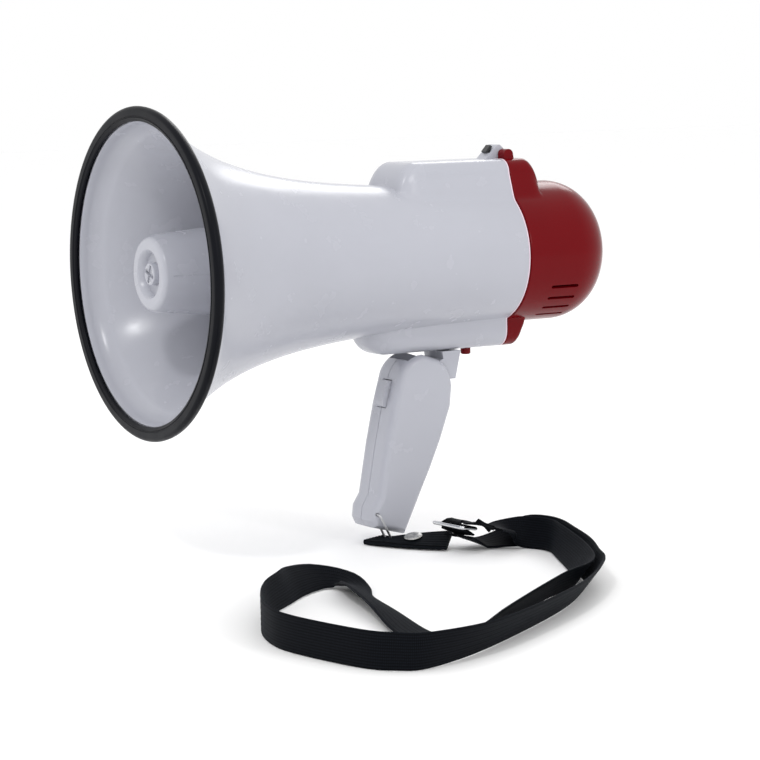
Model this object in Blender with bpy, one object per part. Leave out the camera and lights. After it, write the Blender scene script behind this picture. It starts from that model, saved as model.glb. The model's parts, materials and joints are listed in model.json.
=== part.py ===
"""A handheld megaphone with a folding handle, built as separate pieces.

Metres, +Z up. The horn's axis runs along Y and its mouth faces -Y. The world's origin is the middle
of the hand grip. Every piece is laid out in the horn's own frame, the empty horn_frame: y is counted
from the mouth's front plane, and z from the horn's axis.
"""

import math

import bmesh
import bpy
from mathutils import Matrix, Vector

# Driving dimensions
MOUTH_R = 0.0800
BARREL_R = 0.0345
FLARE = 0.0460
FLARE_LENGTH = 0.0470
WALL = 0.0022
SEAM_Y = 0.2010
DECK_END_Y = SEAM_Y - 0.0001
CAP_R = 0.0358
CAP_END_Y = 0.2560
UPPER_DECK_Z = 0.0482
LOWER_DECK_Z = -0.0474
LOWER_DECK_HALF = 0.0130
UPPER_BASE_HALF = 0.0225
GRIP_HALF = 0.0124
GAP = 0.0003

# Axes of the moving pieces, in the horn's frame
GRIP_MIDDLE = Vector((0.0, 0.1465, -0.0980))
FOLD_AXIS = Vector((0.0, 0.1520, -0.0632))
CAP_AXIS = Vector((0.0, 0.2048, 0.0503))
TRIGGER_AT = Vector((0.0, 0.1348, -0.0675))
TRIGGER_LEAN = math.radians(16.1)
LATCH_AT = Vector((0.0, 0.1837, LOWER_DECK_Z))
NECK_SCREW_YS = (0.1668, 0.1724)
KNOB_AT = Vector((0.0, CAP_END_Y, -0.0085))
SWITCH_LEAN = math.radians(46.7)
SWITCH_AT = Vector((0.0, 0.1992, 0.0523))

# Inner pieces
FLANGE_Y = 0.0920
CELL_R = 0.0131
CELL_FRONT_Y = 0.1460
CELL_END_Y = 0.1955
PIN_R = 0.0024
HUB_R = 0.0080
SEAT_R = 0.0310
HUMP_HALF = 0.0045
KNUCKLE_R = 0.0028
KNUCKLE_END_X = 0.0105
PIN_BORE_R = 0.00085
CHEEK_X = 0.0093

# Strap
FLOOR_Z = -0.1420
WEB_WIDTH = 0.0160
WEB_THICK = 0.0013
LINK_R = 0.0006

FINE = 40
ROUND = 20
SMALL = 10

COLOURS = {
    "white_plastic": ((0.72, 0.73, 0.80), 0.28, 0.0),
    "red_plastic": ((0.42, 0.004, 0.018), 0.25, 0.0),
    "black_plastic": ((0.02, 0.02, 0.022), 0.40, 0.0),
    "rubber": ((0.012, 0.013, 0.018), 0.55, 0.0),
    "webbing": ((0.012, 0.014, 0.018), 0.85, 0.0),
    "steel": ((0.60, 0.60, 0.62), 0.30, 1.0),
    "magnet": ((0.07, 0.07, 0.08), 0.60, 0.3),
    "board": ((0.03, 0.20, 0.08), 0.45, 0.0),
    "film": ((0.55, 0.40, 0.22), 0.40, 0.0),
    "foam": ((0.05, 0.05, 0.05), 0.95, 0.0),
    "cell_jacket": ((0.10, 0.16, 0.30), 0.35, 0.1),
    "copper": ((0.70, 0.36, 0.20), 0.35, 1.0),
}


def clear_scene():
    for old in list(bpy.data.objects):
        bpy.data.objects.remove(old, do_unlink=True)


clear_scene()
horn_frame = bpy.data.objects.new("horn_frame", None)
horn_frame.location = -GRIP_MIDDLE
bpy.context.collection.objects.link(horn_frame)


# ---------------------------------------------------------------- shapes, as bmesh


def horn_radius(y):
    """The horn's outer radius: an exponential flare that runs out into the barrel."""
    return BARREL_R + FLARE * math.exp(-y / FLARE_LENGTH)


def arc(centre, radius, start, end, steps):
    """Points along an arc, with angles in degrees."""
    points = []
    for i in range(steps + 1):
        a = math.radians(start + (end - start) * i / steps)
        points.append((centre[0] + radius * math.cos(a), centre[1] + radius * math.sin(a)))
    return points


def around(point, radius, start, end, steps):
    """An arc in the side view, round a 3-D point."""
    return arc((point.y, point.z), radius, start, end, steps)


def bridge(bm, rings, loop):
    """Faces between rings of equal length; a ring of one vertex is a pole."""
    pairs = list(zip(rings, rings[1:]))
    if loop:
        pairs.append((rings[-1], rings[0]))
    for near, far in pairs:
        count = max(len(near), len(far))
        if count == 1:
            continue
        for i in range(count):
            j = (i + 1) % count
            corners = [near[i % len(near)], near[j % len(near)], far[j % len(far)], far[i % len(far)]]
            bm.faces.new(dict.fromkeys(corners))


def closed(bm):
    bmesh.ops.recalc_face_normals(bm, faces=bm.faces)
    return bm


def turned(profile, segments=ROUND, axis_at=(0.0, 0.0, 0.0)):
    """A solid turned about Y from a closed outline of (y, r) points."""
    bm = bmesh.new()
    rings = []
    for y, r in profile:
        if r < 1e-7:
            rings.append([bm.verts.new((0.0, y, 0.0))])
            continue
        turn = [2 * math.pi * i / segments for i in range(segments)]
        rings.append([bm.verts.new((r * math.sin(a), y, r * math.cos(a))) for a in turn])
    bridge(bm, rings, loop=True)
    bmesh.ops.translate(bm, verts=bm.verts, vec=Vector(axis_at))
    return closed(bm)


def disc(near, far, radius):
    """The outline of a plain disc about Y between two y."""
    return [(near, 0.0), (near, radius), (far, radius), (far, 0.0)]


def ring(near, far, inner, outer):
    """The outline of a flat ring about Y between two y."""
    return [(near, outer), (near, inner), (far, inner), (far, outer)]


def lofted(sections):
    """A solid through closed sections that have the same number of 3-D points."""
    bm = bmesh.new()
    rings = [[bm.verts.new(p) for p in section] for section in sections]
    bridge(bm, rings, loop=False)
    ends = [bm.faces.new(rings[0]), bm.faces.new(rings[-1])]
    bm.normal_update()
    bmesh.ops.triangulate(bm, faces=ends)
    return closed(bm)


def slab(outline, x0, x1):
    """An outline of (y, z) points made solid between two x."""
    return lofted([[(x, y, z) for y, z in outline] for x in (x0, x1)])


def rod(start, end, radius, segments=SMALL):
    start, end = Vector(start), Vector(end)
    bm = bmesh.new()
    turn = (end - start).to_track_quat("Z", "Y").to_matrix().to_4x4()
    place = Matrix.Translation((start + end) / 2) @ turn
    bmesh.ops.create_cone(
        bm, cap_ends=True, segments=segments, radius1=radius, radius2=radius,
        depth=(end - start).length, matrix=place,
    )
    return closed(bm)


def block(low, high, lean=0.0, about=(0.0, 0.0, 0.0)):
    """A box, optionally leaned about X round a point; its corners are given from that point."""
    bm = bmesh.new()
    bmesh.ops.create_cube(bm, size=1.0)
    low, high = Vector(low), Vector(high)
    for v in bm.verts:
        v.co = Vector([low[k] if v.co[k] < 0 else high[k] for k in range(3)])
    bmesh.ops.rotate(bm, verts=bm.verts, cent=(0, 0, 0), matrix=Matrix.Rotation(lean, 3, "X"))
    bmesh.ops.translate(bm, verts=bm.verts, vec=Vector(about))
    return bm


def swept(path, section, cyclic=False, ups=None):
    """A section of (side, up) points carried along a path. ups gives the up direction at each point."""
    bm = bmesh.new()
    rings = []
    up = Vector((0.0, 0.0, 1.0))
    count = len(path)
    for i, point in enumerate(path):
        before = path[i - 1] if cyclic or i else path[i]
        after = path[(i + 1) % count] if cyclic or i < count - 1 else path[i]
        along = (after - before).normalized()
        wanted = ups[i] if ups else up
        if abs(along.dot(wanted)) > 0.98:
            wanted = Vector((1.0, 0.0, 0.0))
        side = along.cross(wanted).normalized()
        up = side.cross(along).normalized()
        rings.append([bm.verts.new(point + side * s + up * u) for s, u in section])
    bridge(bm, rings, loop=cyclic)
    if not cyclic:
        bm.faces.new(rings[0])
        bm.faces.new(rings[-1])
    return closed(bm)


def joined(*parts):
    """Several bmeshes as one, for a cutter of many bodies."""
    whole = bmesh.new()
    for part in parts:
        mesh = bpy.data.meshes.new("joining")
        part.to_mesh(mesh)
        whole.from_mesh(mesh)
        bpy.data.meshes.remove(mesh)
        part.free()
    return whole


# ---------------------------------------------------------------- objects


def set_in_frame(obj, bm, pivot):
    pivot = Vector(pivot)
    bmesh.ops.translate(bm, verts=bm.verts, vec=-pivot)
    bm.to_mesh(obj.data)
    bm.free()
    obj.location = pivot
    obj.parent = horn_frame
    bpy.context.collection.objects.link(obj)


def piece(name, bm, kind, pivot=(0.0, 0.0, 0.0)):
    """A sub-part from a bmesh in the horn's frame, with its origin at pivot."""
    obj = bpy.data.objects.new(name, bpy.data.meshes.new(name))
    set_in_frame(obj, bm, pivot)
    obj.data.shade_smooth()
    obj.data.set_sharp_from_angle(angle=math.radians(35))
    colour, roughness, metallic = COLOURS[kind]
    material = bpy.data.materials.new(f"{name}_{kind}")
    material.use_nodes = True
    shader = material.node_tree.nodes["Principled BSDF"]
    shader.inputs["Base Color"].default_value = (*colour, 1.0)
    shader.inputs["Roughness"].default_value = roughness
    shader.inputs["Metallic"].default_value = metallic
    obj.data.materials.append(material)
    return obj


def shaped(obj, bm, operation):
    """Adds a Boolean whose other shape stays in the file as a hidden guide."""
    guide = bpy.data.objects.new(f"{obj.name}_guide", bpy.data.meshes.new("guide"))
    set_in_frame(guide, bm, (0.0, 0.0, 0.0))
    guide.hide_render = True
    guide.display_type = "WIRE"
    change = obj.modifiers.new(operation.lower(), "BOOLEAN")
    change.operation = operation
    change.object = guide


def add(obj, bm):
    shaped(obj, bm, "UNION")


def cut(obj, bm):
    shaped(obj, bm, "DIFFERENCE")


# ---------------------------------------------------------------- decks on the barrel


def upper_section(y, top, inset=0.0, squeeze=1.0):
    """The upper deck's cross-section: sloping sides, round shoulders and a flat top."""
    radius = min(0.0070, (top - 0.025) / 2) - inset
    right = [((UPPER_BASE_HALF - inset) * squeeze, 0.0250)]
    shoulder = ((0.0170 - 0.0070) * squeeze, top - inset - radius)
    right += arc(shoulder, radius, 0, 90, 4)
    return [(x, y, z) for x, z in right] + [(-x, y, z) for x, z in reversed(right)]


def lower_section(y, half, bottom, inset=0.0):
    """The lower deck's cross-section: a channel with a rounded underside."""
    base = -math.sqrt(horn_radius(y) ** 2 - half**2)
    radius = min(0.0085, half * 0.65, (base - bottom) * 0.8) - inset
    right = [(half - inset, -0.0300)]
    right += arc((half - inset - radius, bottom + inset + radius), radius, 0, -90, 4)
    return [(x, y, z) for x, z in right] + [(-x, y, z) for x, z in reversed(right)]


def over_barrel(section, radius, half):
    """Replaces a deck section's base by an arc that clears the barrel's wall."""
    y = section[0][1]
    side = 1 if section[0][2] > 0 else -1
    rest = section[1:-1]
    base = []
    for i in range(7):
        x = -half + 2 * half * i / 6
        base.append((x, y, side * math.sqrt(radius**2 - x**2)))
    return base + rest


def on_barrel(section, half):
    """A deck section whose base lies inside the barrel's wall."""
    return over_barrel(section, horn_radius(section[0][1]) - WALL / 2, half)


def upper_deck():
    fronts = [(0.1360, 0.0345, 0.93), (0.1372, 0.0392, 0.95), (0.1393, 0.0435, 0.97), (0.1425, 0.0466, 0.99)]
    fronts += [(0.1470, UPPER_DECK_Z, 1.0), (DECK_END_Y, UPPER_DECK_Z, 1.0)]
    return lofted([on_barrel(upper_section(y, top, squeeze=s), UPPER_BASE_HALF * s) for y, top, s in fronts])


def channels(floor_r, upper_ys, lower_ys):
    """The hollows of the two decks, above and below a barrel of radius floor_r."""
    upper = [over_barrel(upper_section(y, UPPER_DECK_Z, WALL), floor_r, 0.0180) for y in upper_ys]
    lower = []
    for y in lower_ys:
        section = lower_section(y, LOWER_DECK_HALF, LOWER_DECK_Z, WALL)
        lower.append(over_barrel(section, floor_r, 0.0106))
    return lofted(upper), lofted(lower)


def nose_share(y, start, length):
    """How far a rounded end has grown at y, from 0 to 1, as a quarter ellipse."""
    left = max(0.0, (start + length - y) / length)
    return math.sqrt(max(0.0, 1 - left * left))


def lower_bottom(share):
    return -0.0345 + (LOWER_DECK_Z + 0.0345) * share


def lower_deck():
    start, length = 0.1195, 0.0130
    sections = []
    for y in (0.1199, 0.1215, 0.1245, 0.1285, 0.1325, DECK_END_Y):
        share = nose_share(y, start, length)
        half = LOWER_DECK_HALF * (0.35 + 0.65 * share)
        sections.append(on_barrel(lower_section(y, half, lower_bottom(share)), half))
    return lofted(sections)


# ---------------------------------------------------------------- housing


def horn_profile():
    """Bell, driver's seat and battery barrel as one turned wall."""
    lip = [(0.0030, 0.0736), (0.0030, 0.0760), (0.0066, 0.0760), (0.0075, 0.0738)]
    flare = [0.0130, 0.0210, 0.0310, 0.0440, 0.0600, 0.0800, 0.1050, 0.1400, SEAM_Y]
    outside = [(y, horn_radius(y)) for y in flare]
    seat_y = FLANGE_Y + 0.0032
    barrel = [(y, horn_radius(y) - WALL) for y in (SEAM_Y, 0.1400, 0.1150, seat_y + 0.0024)]
    seat = [(seat_y + 0.0024, SEAT_R), (seat_y, SEAT_R)]
    bell = [(y, horn_radius(y) - WALL) for y in (seat_y, 0.0780, 0.0600, 0.0440, 0.0310, 0.0210, 0.0130)]
    return lip + outside + barrel + seat + bell + [(0.0082, 0.0712), (0.0060, 0.0736)]


def hinge_hump():
    """The ramp that carries the mode switch; it ends in the tongue between the cap's knuckles."""
    root = SEAM_Y - 0.0005
    outline = [(root, CAP_AXIS.z - KNUCKLE_R), (root, 0.0440), (0.1950, 0.0462), (0.1952, UPPER_DECK_Z),
               (0.2016, 0.0548), (0.2028, 0.0554), (0.2042, 0.0549)]
    outline += around(CAP_AXIS, KNUCKLE_R, 55, -90, 6)
    return slab(outline, -HUMP_HALF, HUMP_HALF)


def horn_body():
    body = piece("horn_body", turned(horn_profile(), FINE), "white_plastic")
    add(body, upper_deck())
    add(body, lower_deck())
    add(body, hinge_hump())
    for channel in channels(0.0358, (0.1490, 0.2050), (0.1360, 0.2050)):
        cut(body, channel)
    cut(body, block((-0.0033, 0.1966, 0.0440), (0.0033, 0.2001, 0.0479)))
    cut(body, block((-0.0031, 0.1980, 0.0460), (0.0031, 0.1998, 0.0570)))
    pin = rod(CAP_AXIS - Vector((0.02, 0, 0)), CAP_AXIS + Vector((0.02, 0, 0)), PIN_BORE_R)
    button = rod(LATCH_AT + Vector((0, 0, -0.004)), LATCH_AT + Vector((0, 0, 0.004)), 0.0029, 16)
    screws = [rod((0, y, LOWER_DECK_Z - 0.004), (0, y, LOWER_DECK_Z + 0.004), 0.0016) for y in NECK_SCREW_YS]
    cut(body, joined(pin, button, *screws))
    return body


def rim_bumper():
    """A rubber channel that grips the bell's lip; its front is flat between rounded edges."""
    outer = arc((0.0022, MOUTH_R - 0.0022), 0.0022, 180, 90, 2)
    back = [(0.0056, MOUTH_R), (0.0070, MOUTH_R - 0.0012), (0.0070, 0.0764)]
    groove = [(0.0026, 0.0764), (0.0026, 0.0732), (0.0052, 0.0732)]
    inner = [(0.0052, 0.0722)] + arc((0.0016, 0.0732), 0.0016, 270, 180, 2)
    return piece("rim_bumper", turned(outer + back + groove + inner, FINE), "rubber")


# ---------------------------------------------------------------- horn's inner pieces


def reflector():
    """The bullet: a cup open to the rear, with a recess in its nose and a post down its middle."""
    nose = [(0.0085, 0.0), (0.0085, 0.0098), (0.0062, 0.0106)]
    nose += [(0.0050, 0.0118), (0.0050, 0.0160)]
    side = [(0.0062, 0.0178), (0.0090, 0.0188), (0.0300, 0.0205), (0.0520, 0.0222)]
    inside = [(0.0520, 0.0202), (0.0300, 0.0185), (0.0125, 0.0170), (0.0107, 0.0150)]
    post = [(0.0107, 0.0045), (0.0197, 0.0038), (0.0197, 0.0)]
    cup = piece("reflector", turned(nose + side + inside + post, 32), "white_plastic")
    cut(cup, rod((0, 0.004, 0), (0, 0.021, 0), 0.0017, SMALL))
    return cup


def reflector_screw():
    """The screw in the bullet's recess, with a cross cut in its wide head."""
    profile = [(0.0052, 0.0), (0.0052, 0.0046), (0.0060, 0.0055), (0.0082, 0.0055), (0.0082, 0.0014)]
    screw = piece("reflector_screw", turned(profile + [(0.0265, 0.0014), (0.0275, 0.0)], 20), "white_plastic")
    bars = [block((-0.0043, -0.002, -0.0007), (0.0043, 0.0012, 0.0007)),
            block((-0.0007, -0.002, -0.0043), (0.0007, 0.0012, 0.0043))]
    turn = Matrix.Rotation(math.radians(20), 3, "Y")
    for bar in bars:
        bmesh.ops.rotate(bar, verts=bar.verts, cent=(0, 0, 0), matrix=turn)
        bmesh.ops.translate(bar, verts=bar.verts, vec=(0.0, 0.0050, 0.0))
        cut(screw, bar)
    return screw


def throat_tube():
    """The tube from the driver into the bullet, with its flange, and three ribs that hold a boss."""
    flange_r = horn_radius(FLANGE_Y + 0.0030) - WALL - GAP
    outer = [(0.0180, 0.0118), (0.0880, 0.0090), (FLANGE_Y - 0.0004, 0.0110), (FLANGE_Y, flange_r)]
    inner = [(FLANGE_Y + 0.0029, flange_r), (FLANGE_Y + 0.0029, 0.0065), (0.0180, 0.0100)]
    tube = piece("throat_tube", turned(outer + inner, ROUND), "white_plastic")
    for k in range(3):
        rib = block((-0.0007, 0.0200, 0.0030), (0.0007, 0.0290, 0.0107))
        bmesh.ops.rotate(rib, verts=rib.verts, cent=(0, 0, 0), matrix=Matrix.Rotation(2.0944 * k, 3, "Y"))
        add(tube, rib)
    add(tube, rod((0, 0.0200, 0), (0, 0.0290, 0), 0.0042, 16))
    cut(tube, rod((0, 0.0190, 0), (0, 0.0280, 0), 0.0017, SMALL))
    return tube


def driver():
    """The compression driver behind the flange, on the horn's axis."""
    back = FLANGE_Y + 0.0056
    frame = [(back + GAP, 0.0330), (back + GAP, 0.0225), (back + 0.0062, 0.0225), (back + 0.0062, 0.0270),
             (back + 0.0090, 0.0270), (back + 0.0090, 0.0330)]
    piece("driver_frame", turned(frame, ROUND), "black_plastic")
    front = [(-0.0012, 0.0), (-0.0002, 0.0080), (0.0024, 0.0122), (0.0030, 0.0160), (0.0030, 0.0200)]
    rear = [(0.0036, 0.0200), (0.0036, 0.0156), (0.0030, 0.0118), (0.0004, 0.0078), (-0.0005, 0.0)]
    piece("diaphragm", turned([(back + y, r) for y, r in front + rear], ROUND), "film")
    piece("voice_coil", turned(ring(back + 0.0042, back + 0.0106, 0.0126, 0.0131), ROUND), "copper")
    piece("driver_top_plate", turned(ring(back + 0.0065, back + 0.0105, 0.0137, 0.0250), ROUND), "steel")
    piece("driver_magnet", turned(ring(back + 0.0108, back + 0.0218, 0.0165, 0.0270), ROUND), "magnet")
    yoke = [(back + 0.0068, 0.0), (back + 0.0068, 0.0120), (back + 0.0221, 0.0120), (back + 0.0221, 0.0250),
            (back + 0.0261, 0.0250), (back + 0.0261, 0.0)]
    piece("driver_yoke", turned(yoke, ROUND), "steel")


# ---------------------------------------------------------------- batteries and electronics


def cell_places():
    offset = CELL_R + 0.0002
    return [(x, z) for z in (offset, -offset) for x in (-offset, offset)]


def battery_pack():
    """The bulkhead with its springs, the four cells, and the contact board that rides on the cap."""
    piece("battery_bulkhead", turned(disc(0.1385, 0.1405, 0.0325), ROUND), "black_plastic")
    nub, shoulder = CELL_END_Y, CELL_END_Y - 0.0018
    for n, (x, z) in enumerate(cell_places(), 1):
        jacket = [(CELL_FRONT_Y, 0.0), (CELL_FRONT_Y, CELL_R), (shoulder - 0.0008, CELL_R),
                  (shoulder, CELL_R - 0.0010), (shoulder, 0.0037), (nub, 0.0035), (nub, 0.0)]
        piece(f"battery_cell_{n}", turned(jacket, 16, (x, 0.0, z)), "cell_jacket")
        turns, steps = 3, 8
        path = []
        for i in range(turns * steps + 1):
            t = i / (turns * steps)
            a = 2 * math.pi * i / steps
            r = 0.0062 - 0.0026 * t
            y = 0.1413 + (CELL_FRONT_Y - 0.0008 - 0.1413) * t
            path.append(Vector((x + r * math.cos(a), y, z + r * math.sin(a))))
        piece(f"cell_spring_{n}", swept(path, circle_section(0.00045, 4), ups=along_y(path)), "steel")


def circle_section(radius, sides):
    return [(radius * math.cos(2 * math.pi * k / sides), radius * math.sin(2 * math.pi * k / sides))
            for k in range(sides)]


def along_y(path):
    return [Vector((0.0, 1.0, 0.0)) for _ in path]


def electronics():
    """The amplifier board in the upper deck, its parts, and the slide switch under the bump."""
    piece("amplifier_board", block((-0.0120, 0.1505, 0.0378), (0.0120, 0.1910, 0.0392)), "board")
    piece("output_transformer", block((-0.0085, 0.1530, 0.0395), (0.0025, 0.1660, 0.0450)), "magnet")
    capacitor = rod((0.0070, 0.1540, 0.0424), (0.0070, 0.1660, 0.0424), 0.0028)
    piece("filter_capacitor", capacitor, "black_plastic")
    piece("amplifier_chip", block((-0.0070, 0.1715, 0.0395), (0.0030, 0.1765, 0.0435)), "black_plastic")
    piece("mode_switch_body", block((-0.0030, 0.1969, 0.0410), (0.0030, 0.1998, 0.0476)), "black_plastic")


def mode_slider():
    """The knob on the slope, with a stem that goes down through the slot."""
    knob = block((-0.0021, -0.0022, 0.0004), (0.0021, 0.0022, 0.0018), SWITCH_LEAN, SWITCH_AT)
    slider = piece("mode_slider", knob, "black_plastic", SWITCH_AT)
    add(slider, block((-0.0014, 0.1984, 0.0480), (0.0014, 0.1994, 0.0530)))
    return slider


# ---------------------------------------------------------------- rear cap


def cap_edge(inset):
    """The cap's side and its large round edge, moved inward by inset."""
    end_r, bend_y = 0.0130, 0.2320
    rise, run = CAP_R - inset - end_r, CAP_END_Y - inset - bend_y
    turn = [math.radians(22.5 * k) for k in range(5)]
    edge = [(bend_y + run * math.sin(a), end_r + rise * math.cos(a)) for a in turn]
    return [(SEAM_Y + GAP, CAP_R - inset)] + edge + [(CAP_END_Y - inset, 0.0)]


def cap_profile():
    return cap_edge(0.0) + cap_edge(WALL)[::-1]


def cap_upper_block():
    start = SEAM_Y + GAP + 0.0001
    ends = [(start, 0.0), (0.2125, 0.0), (0.2155, 0.0012), (0.2175, 0.0042), (0.2184, 0.0085)]
    sections = [upper_section(y, UPPER_DECK_Z - drop) for y, drop in ends]
    return lofted([over_barrel(section, CAP_R - WALL / 2, UPPER_BASE_HALF) for section in sections])


def cap_lower_block():
    ends = [(SEAM_Y + GAP + 0.0001, 1.0), (0.2075, 1.0), (0.2100, 0.93), (0.2114, 0.72)]
    sections = [lower_section(y, LOWER_DECK_HALF, lower_bottom(share)) for y, share in ends]
    return lofted([over_barrel(section, CAP_R - WALL / 2, LOWER_DECK_HALF) for section in sections])


def vents():
    """Four slots low on each side of the cap."""
    slots = []
    for side in (-1, 1):
        for k in range(4):
            low, high = sorted((side * 0.0300, side * 0.0400))
            slot = block((low, 0.2160, -0.0009), (high, 0.2325, 0.0009))
            turn = Matrix.Rotation(side * math.radians(28 + 11.5 * k), 3, "Y")
            bmesh.ops.rotate(slot, verts=slot.verts, cent=(0, 0, 0), matrix=turn)
            slots.append(slot)
    return joined(*slots)


def rear_cap():
    cap = piece("rear_cap", turned(cap_profile(), FINE), "red_plastic", CAP_AXIS)
    add(cap, cap_upper_block())
    add(cap, cap_lower_block())
    for side in (-1, 1):
        x0, x1 = sorted((side * (HUMP_HALF + GAP), side * KNUCKLE_END_X))
        add(cap, rod((x0, CAP_AXIS.y, CAP_AXIS.z), (x1, CAP_AXIS.y, CAP_AXIS.z), KNUCKLE_R, 16))
        add(cap, block((x0, CAP_AXIS.y - 0.0023, 0.0470), (x1, CAP_AXIS.y + 0.0023, CAP_AXIS.z)))
    clear_r = KNUCKLE_R + 2 * GAP
    slot = [(0.1990, CAP_AXIS.z - clear_r)] + around(CAP_AXIS, clear_r, -90, 90, 8) + [(0.1990, 0.0600)]
    cut(cap, slab(slot, -HUMP_HALF - GAP, HUMP_HALF + GAP))
    for channel in channels(0.0354, (0.1990, 0.2140), (0.1990, 0.2085)):
        cut(cap, channel)
    end, z = CAP_END_Y, KNOB_AT.z
    add(cap, rod((0, end - 0.0085, z), (0, end - 0.0016, z), 0.0100, ROUND))
    cut(cap, rod((0, end - 0.0062, z), (0, end + 0.0010, z), 0.0080, ROUND))
    cut(cap, rod((0, end - 0.0100, z), (0, end, z), 0.0034, 16))
    cut(cap, vents())
    grille = [block((-w, CAP_END_Y - 0.005, z - 0.0007), (w, CAP_END_Y + 0.002, z + 0.0007))
              for z, w in ((0.0043, 0.0060), (0.0071, 0.0070), (0.0099, 0.0060), (0.0127, 0.0040))]
    cut(cap, joined(*grille))
    cut(cap, rod(CAP_AXIS - Vector((0.02, 0, 0)), CAP_AXIS + Vector((0.02, 0, 0)), PIN_BORE_R))
    return cap


def cap_fittings():
    """What the cap carries: contact board, microphone, volume control; and the pin it turns on."""
    piece("cap_contact_board", turned(disc(0.1966, 0.1982, 0.0310), ROUND), "board", CAP_AXIS)
    end = CAP_END_Y
    mic = (0.0, 0.0, 0.0085)
    knob = (0.0, 0.0, KNOB_AT.z)
    piece("microphone_foam", turned(disc(end - 0.0070, end - 0.0036, 0.0060), 16, mic), "foam", CAP_AXIS)
    piece("microphone", turned(disc(end - 0.0146, end - 0.0074, 0.0048), 16, mic), "steel", CAP_AXIS)
    piece("volume_control", turned(disc(end - 0.0190, end - 0.0105, 0.0080), 16, knob), "steel", CAP_AXIS)
    rim = [(end - 0.0058, 0.0), (end - 0.0058, 0.0076), (end + 0.0005, 0.0072), (end + 0.0012, 0.0062),
           (end + 0.0012, 0.0)]
    dial = piece("volume_knob", turned(rim, ROUND, knob), "black_plastic", KNOB_AT)
    add(dial, rod((0, end - 0.0100, KNOB_AT.z), (0, end - 0.0050, KNOB_AT.z), 0.0030))
    cut(dial, block((-0.0008, end + 0.0002, KNOB_AT.z + 0.0015), (0.0008, end + 0.0020, KNOB_AT.z + 0.0078)))
    half = Vector((KNUCKLE_END_X - GAP, 0, 0))
    piece("cap_hinge_pin", rod(CAP_AXIS - half, CAP_AXIS + half, PIN_BORE_R - 0.0001), "steel")


def latch():
    """The button under the lower deck, with a flange that keeps it in, and its return spring."""
    x, y, z = LATCH_AT
    button = [(z - 0.0036, 0.0), (z - 0.0036, 0.0020), (z - 0.0030, 0.0026), (z + WALL + 0.0002, 0.0026),
              (z + WALL + 0.0002, 0.0040), (z + WALL + 0.0012, 0.0040), (z + WALL + 0.0012, 0.0)]
    bm = turned(button, 16)
    # The turned solid stands along Y; a quarter turn about X stands it along Z.
    bmesh.ops.rotate(bm, verts=bm.verts, cent=(0, 0, 0), matrix=Matrix.Rotation(math.pi / 2, 3, "X"))
    bmesh.ops.translate(bm, verts=bm.verts, vec=(x, y, 0.0))
    piece("latch_button", bm, "red_plastic", LATCH_AT)
    low, high = z + WALL + 0.0012 + 0.0009, -0.0362 - 0.0009
    path = []
    for i in range(31):
        a = 2 * math.pi * i / 10
        path.append(Vector((x + 0.0026 * math.cos(a), y + 0.0026 * math.sin(a), low + (high - low) * i / 30)))
    ups = [Vector((0.0, 0.0, 1.0)) for _ in path]
    piece("latch_spring", swept(path, circle_section(0.0004, 5), ups=ups), "steel")


# ---------------------------------------------------------------- handle


def grip_outline():
    """The grip's side view: a head round the fold axis, a tapering shank, and a small heel."""
    front = [(0.1214, -0.1336), (0.1196, -0.1298), (0.1204, -0.1236), (0.1240, -0.1180), (0.1287, -0.0929),
             (0.1333, -0.0727)]
    head = around(FOLD_AXIS, 0.0153, 165, 92, 6) + arc((0.1550, -0.0634), 0.0136, 68, 14, 3)
    rear = [(0.1690, -0.0650), (0.1679, -0.0756), (0.1615, -0.0925), (0.1552, -0.1064), (0.1490, -0.1186),
            (0.1393, -0.1384)]
    return front + head + rear


def drawn_in(outline, distance):
    """An outline moved inward by a distance, corner by corner."""
    moved = []
    count = len(outline)
    for i in range(count):
        p, a, b = Vector(outline[i]), Vector(outline[i - 1]), Vector(outline[(i + 1) % count])
        first, second = (p - a).normalized(), (b - p).normalized()
        inward = Vector((first.y + second.y, -first.x - second.x)).normalized()
        lift = max(0.55, inward.dot(Vector((first.y, -first.x))))
        moved.append(tuple(p + inward * distance / lift))
    return moved


def grip_hollow():
    """The room inside the grip, which opens at the top and rear where the neck stands."""
    front = [(0.1232, -0.1308), (0.1226, -0.1246), (0.1262, -0.1180), (0.1308, -0.0922), (0.1350, -0.0731)]
    front += around(FOLD_AXIS, 0.0132, 165, 126, 3)
    opening = [(FOLD_AXIS.y - 0.0088, FOLD_AXIS.z + 0.0126), (FOLD_AXIS.y - 0.0093, -0.0430)]
    opening += [(0.1775, -0.0430), (0.1775, -0.0628), (0.1670, -0.0628)]
    rear = [(0.1656, -0.0749), (0.1594, -0.0916), (0.1532, -0.1055), (0.1471, -0.1174), (0.1381, -0.1354)]
    return front + opening + rear


def rounded_half(side):
    """One half of the grip, solid, with its outer edge rounded off."""
    outline = grip_outline()
    steps = ((0.00015, 0.0), (0.0080, 0.0), (0.0102, 0.0004), (0.0116, 0.0014), (GRIP_HALF, 0.0032))
    return lofted([[(side * x, y, z) for y, z in drawn_in(outline, d)] for x, d in steps])


def link_path():
    """The wire link through the grip's lower front corner: outside, under the foot and back inside."""
    hole = Vector((0.0, 0.1226, -0.1270))
    down = Vector((0.0, 0.46, -0.89)).normalized()
    inner, outer, long, r = 0.0078, 0.0142, 0.0153, 0.0018
    points = []
    for cx, cy, start in ((outer - r, r, -90), (outer - r, long - r, 0), (inner + r, long - r, 90),
                          (inner + r, r, 180)):
        for x, d in arc((cx, cy), r, start, start + 90, 4):
            points.append(hole + Vector((x, 0.0, 0.0)) + down * (d - 0.0005))
    return points


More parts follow.
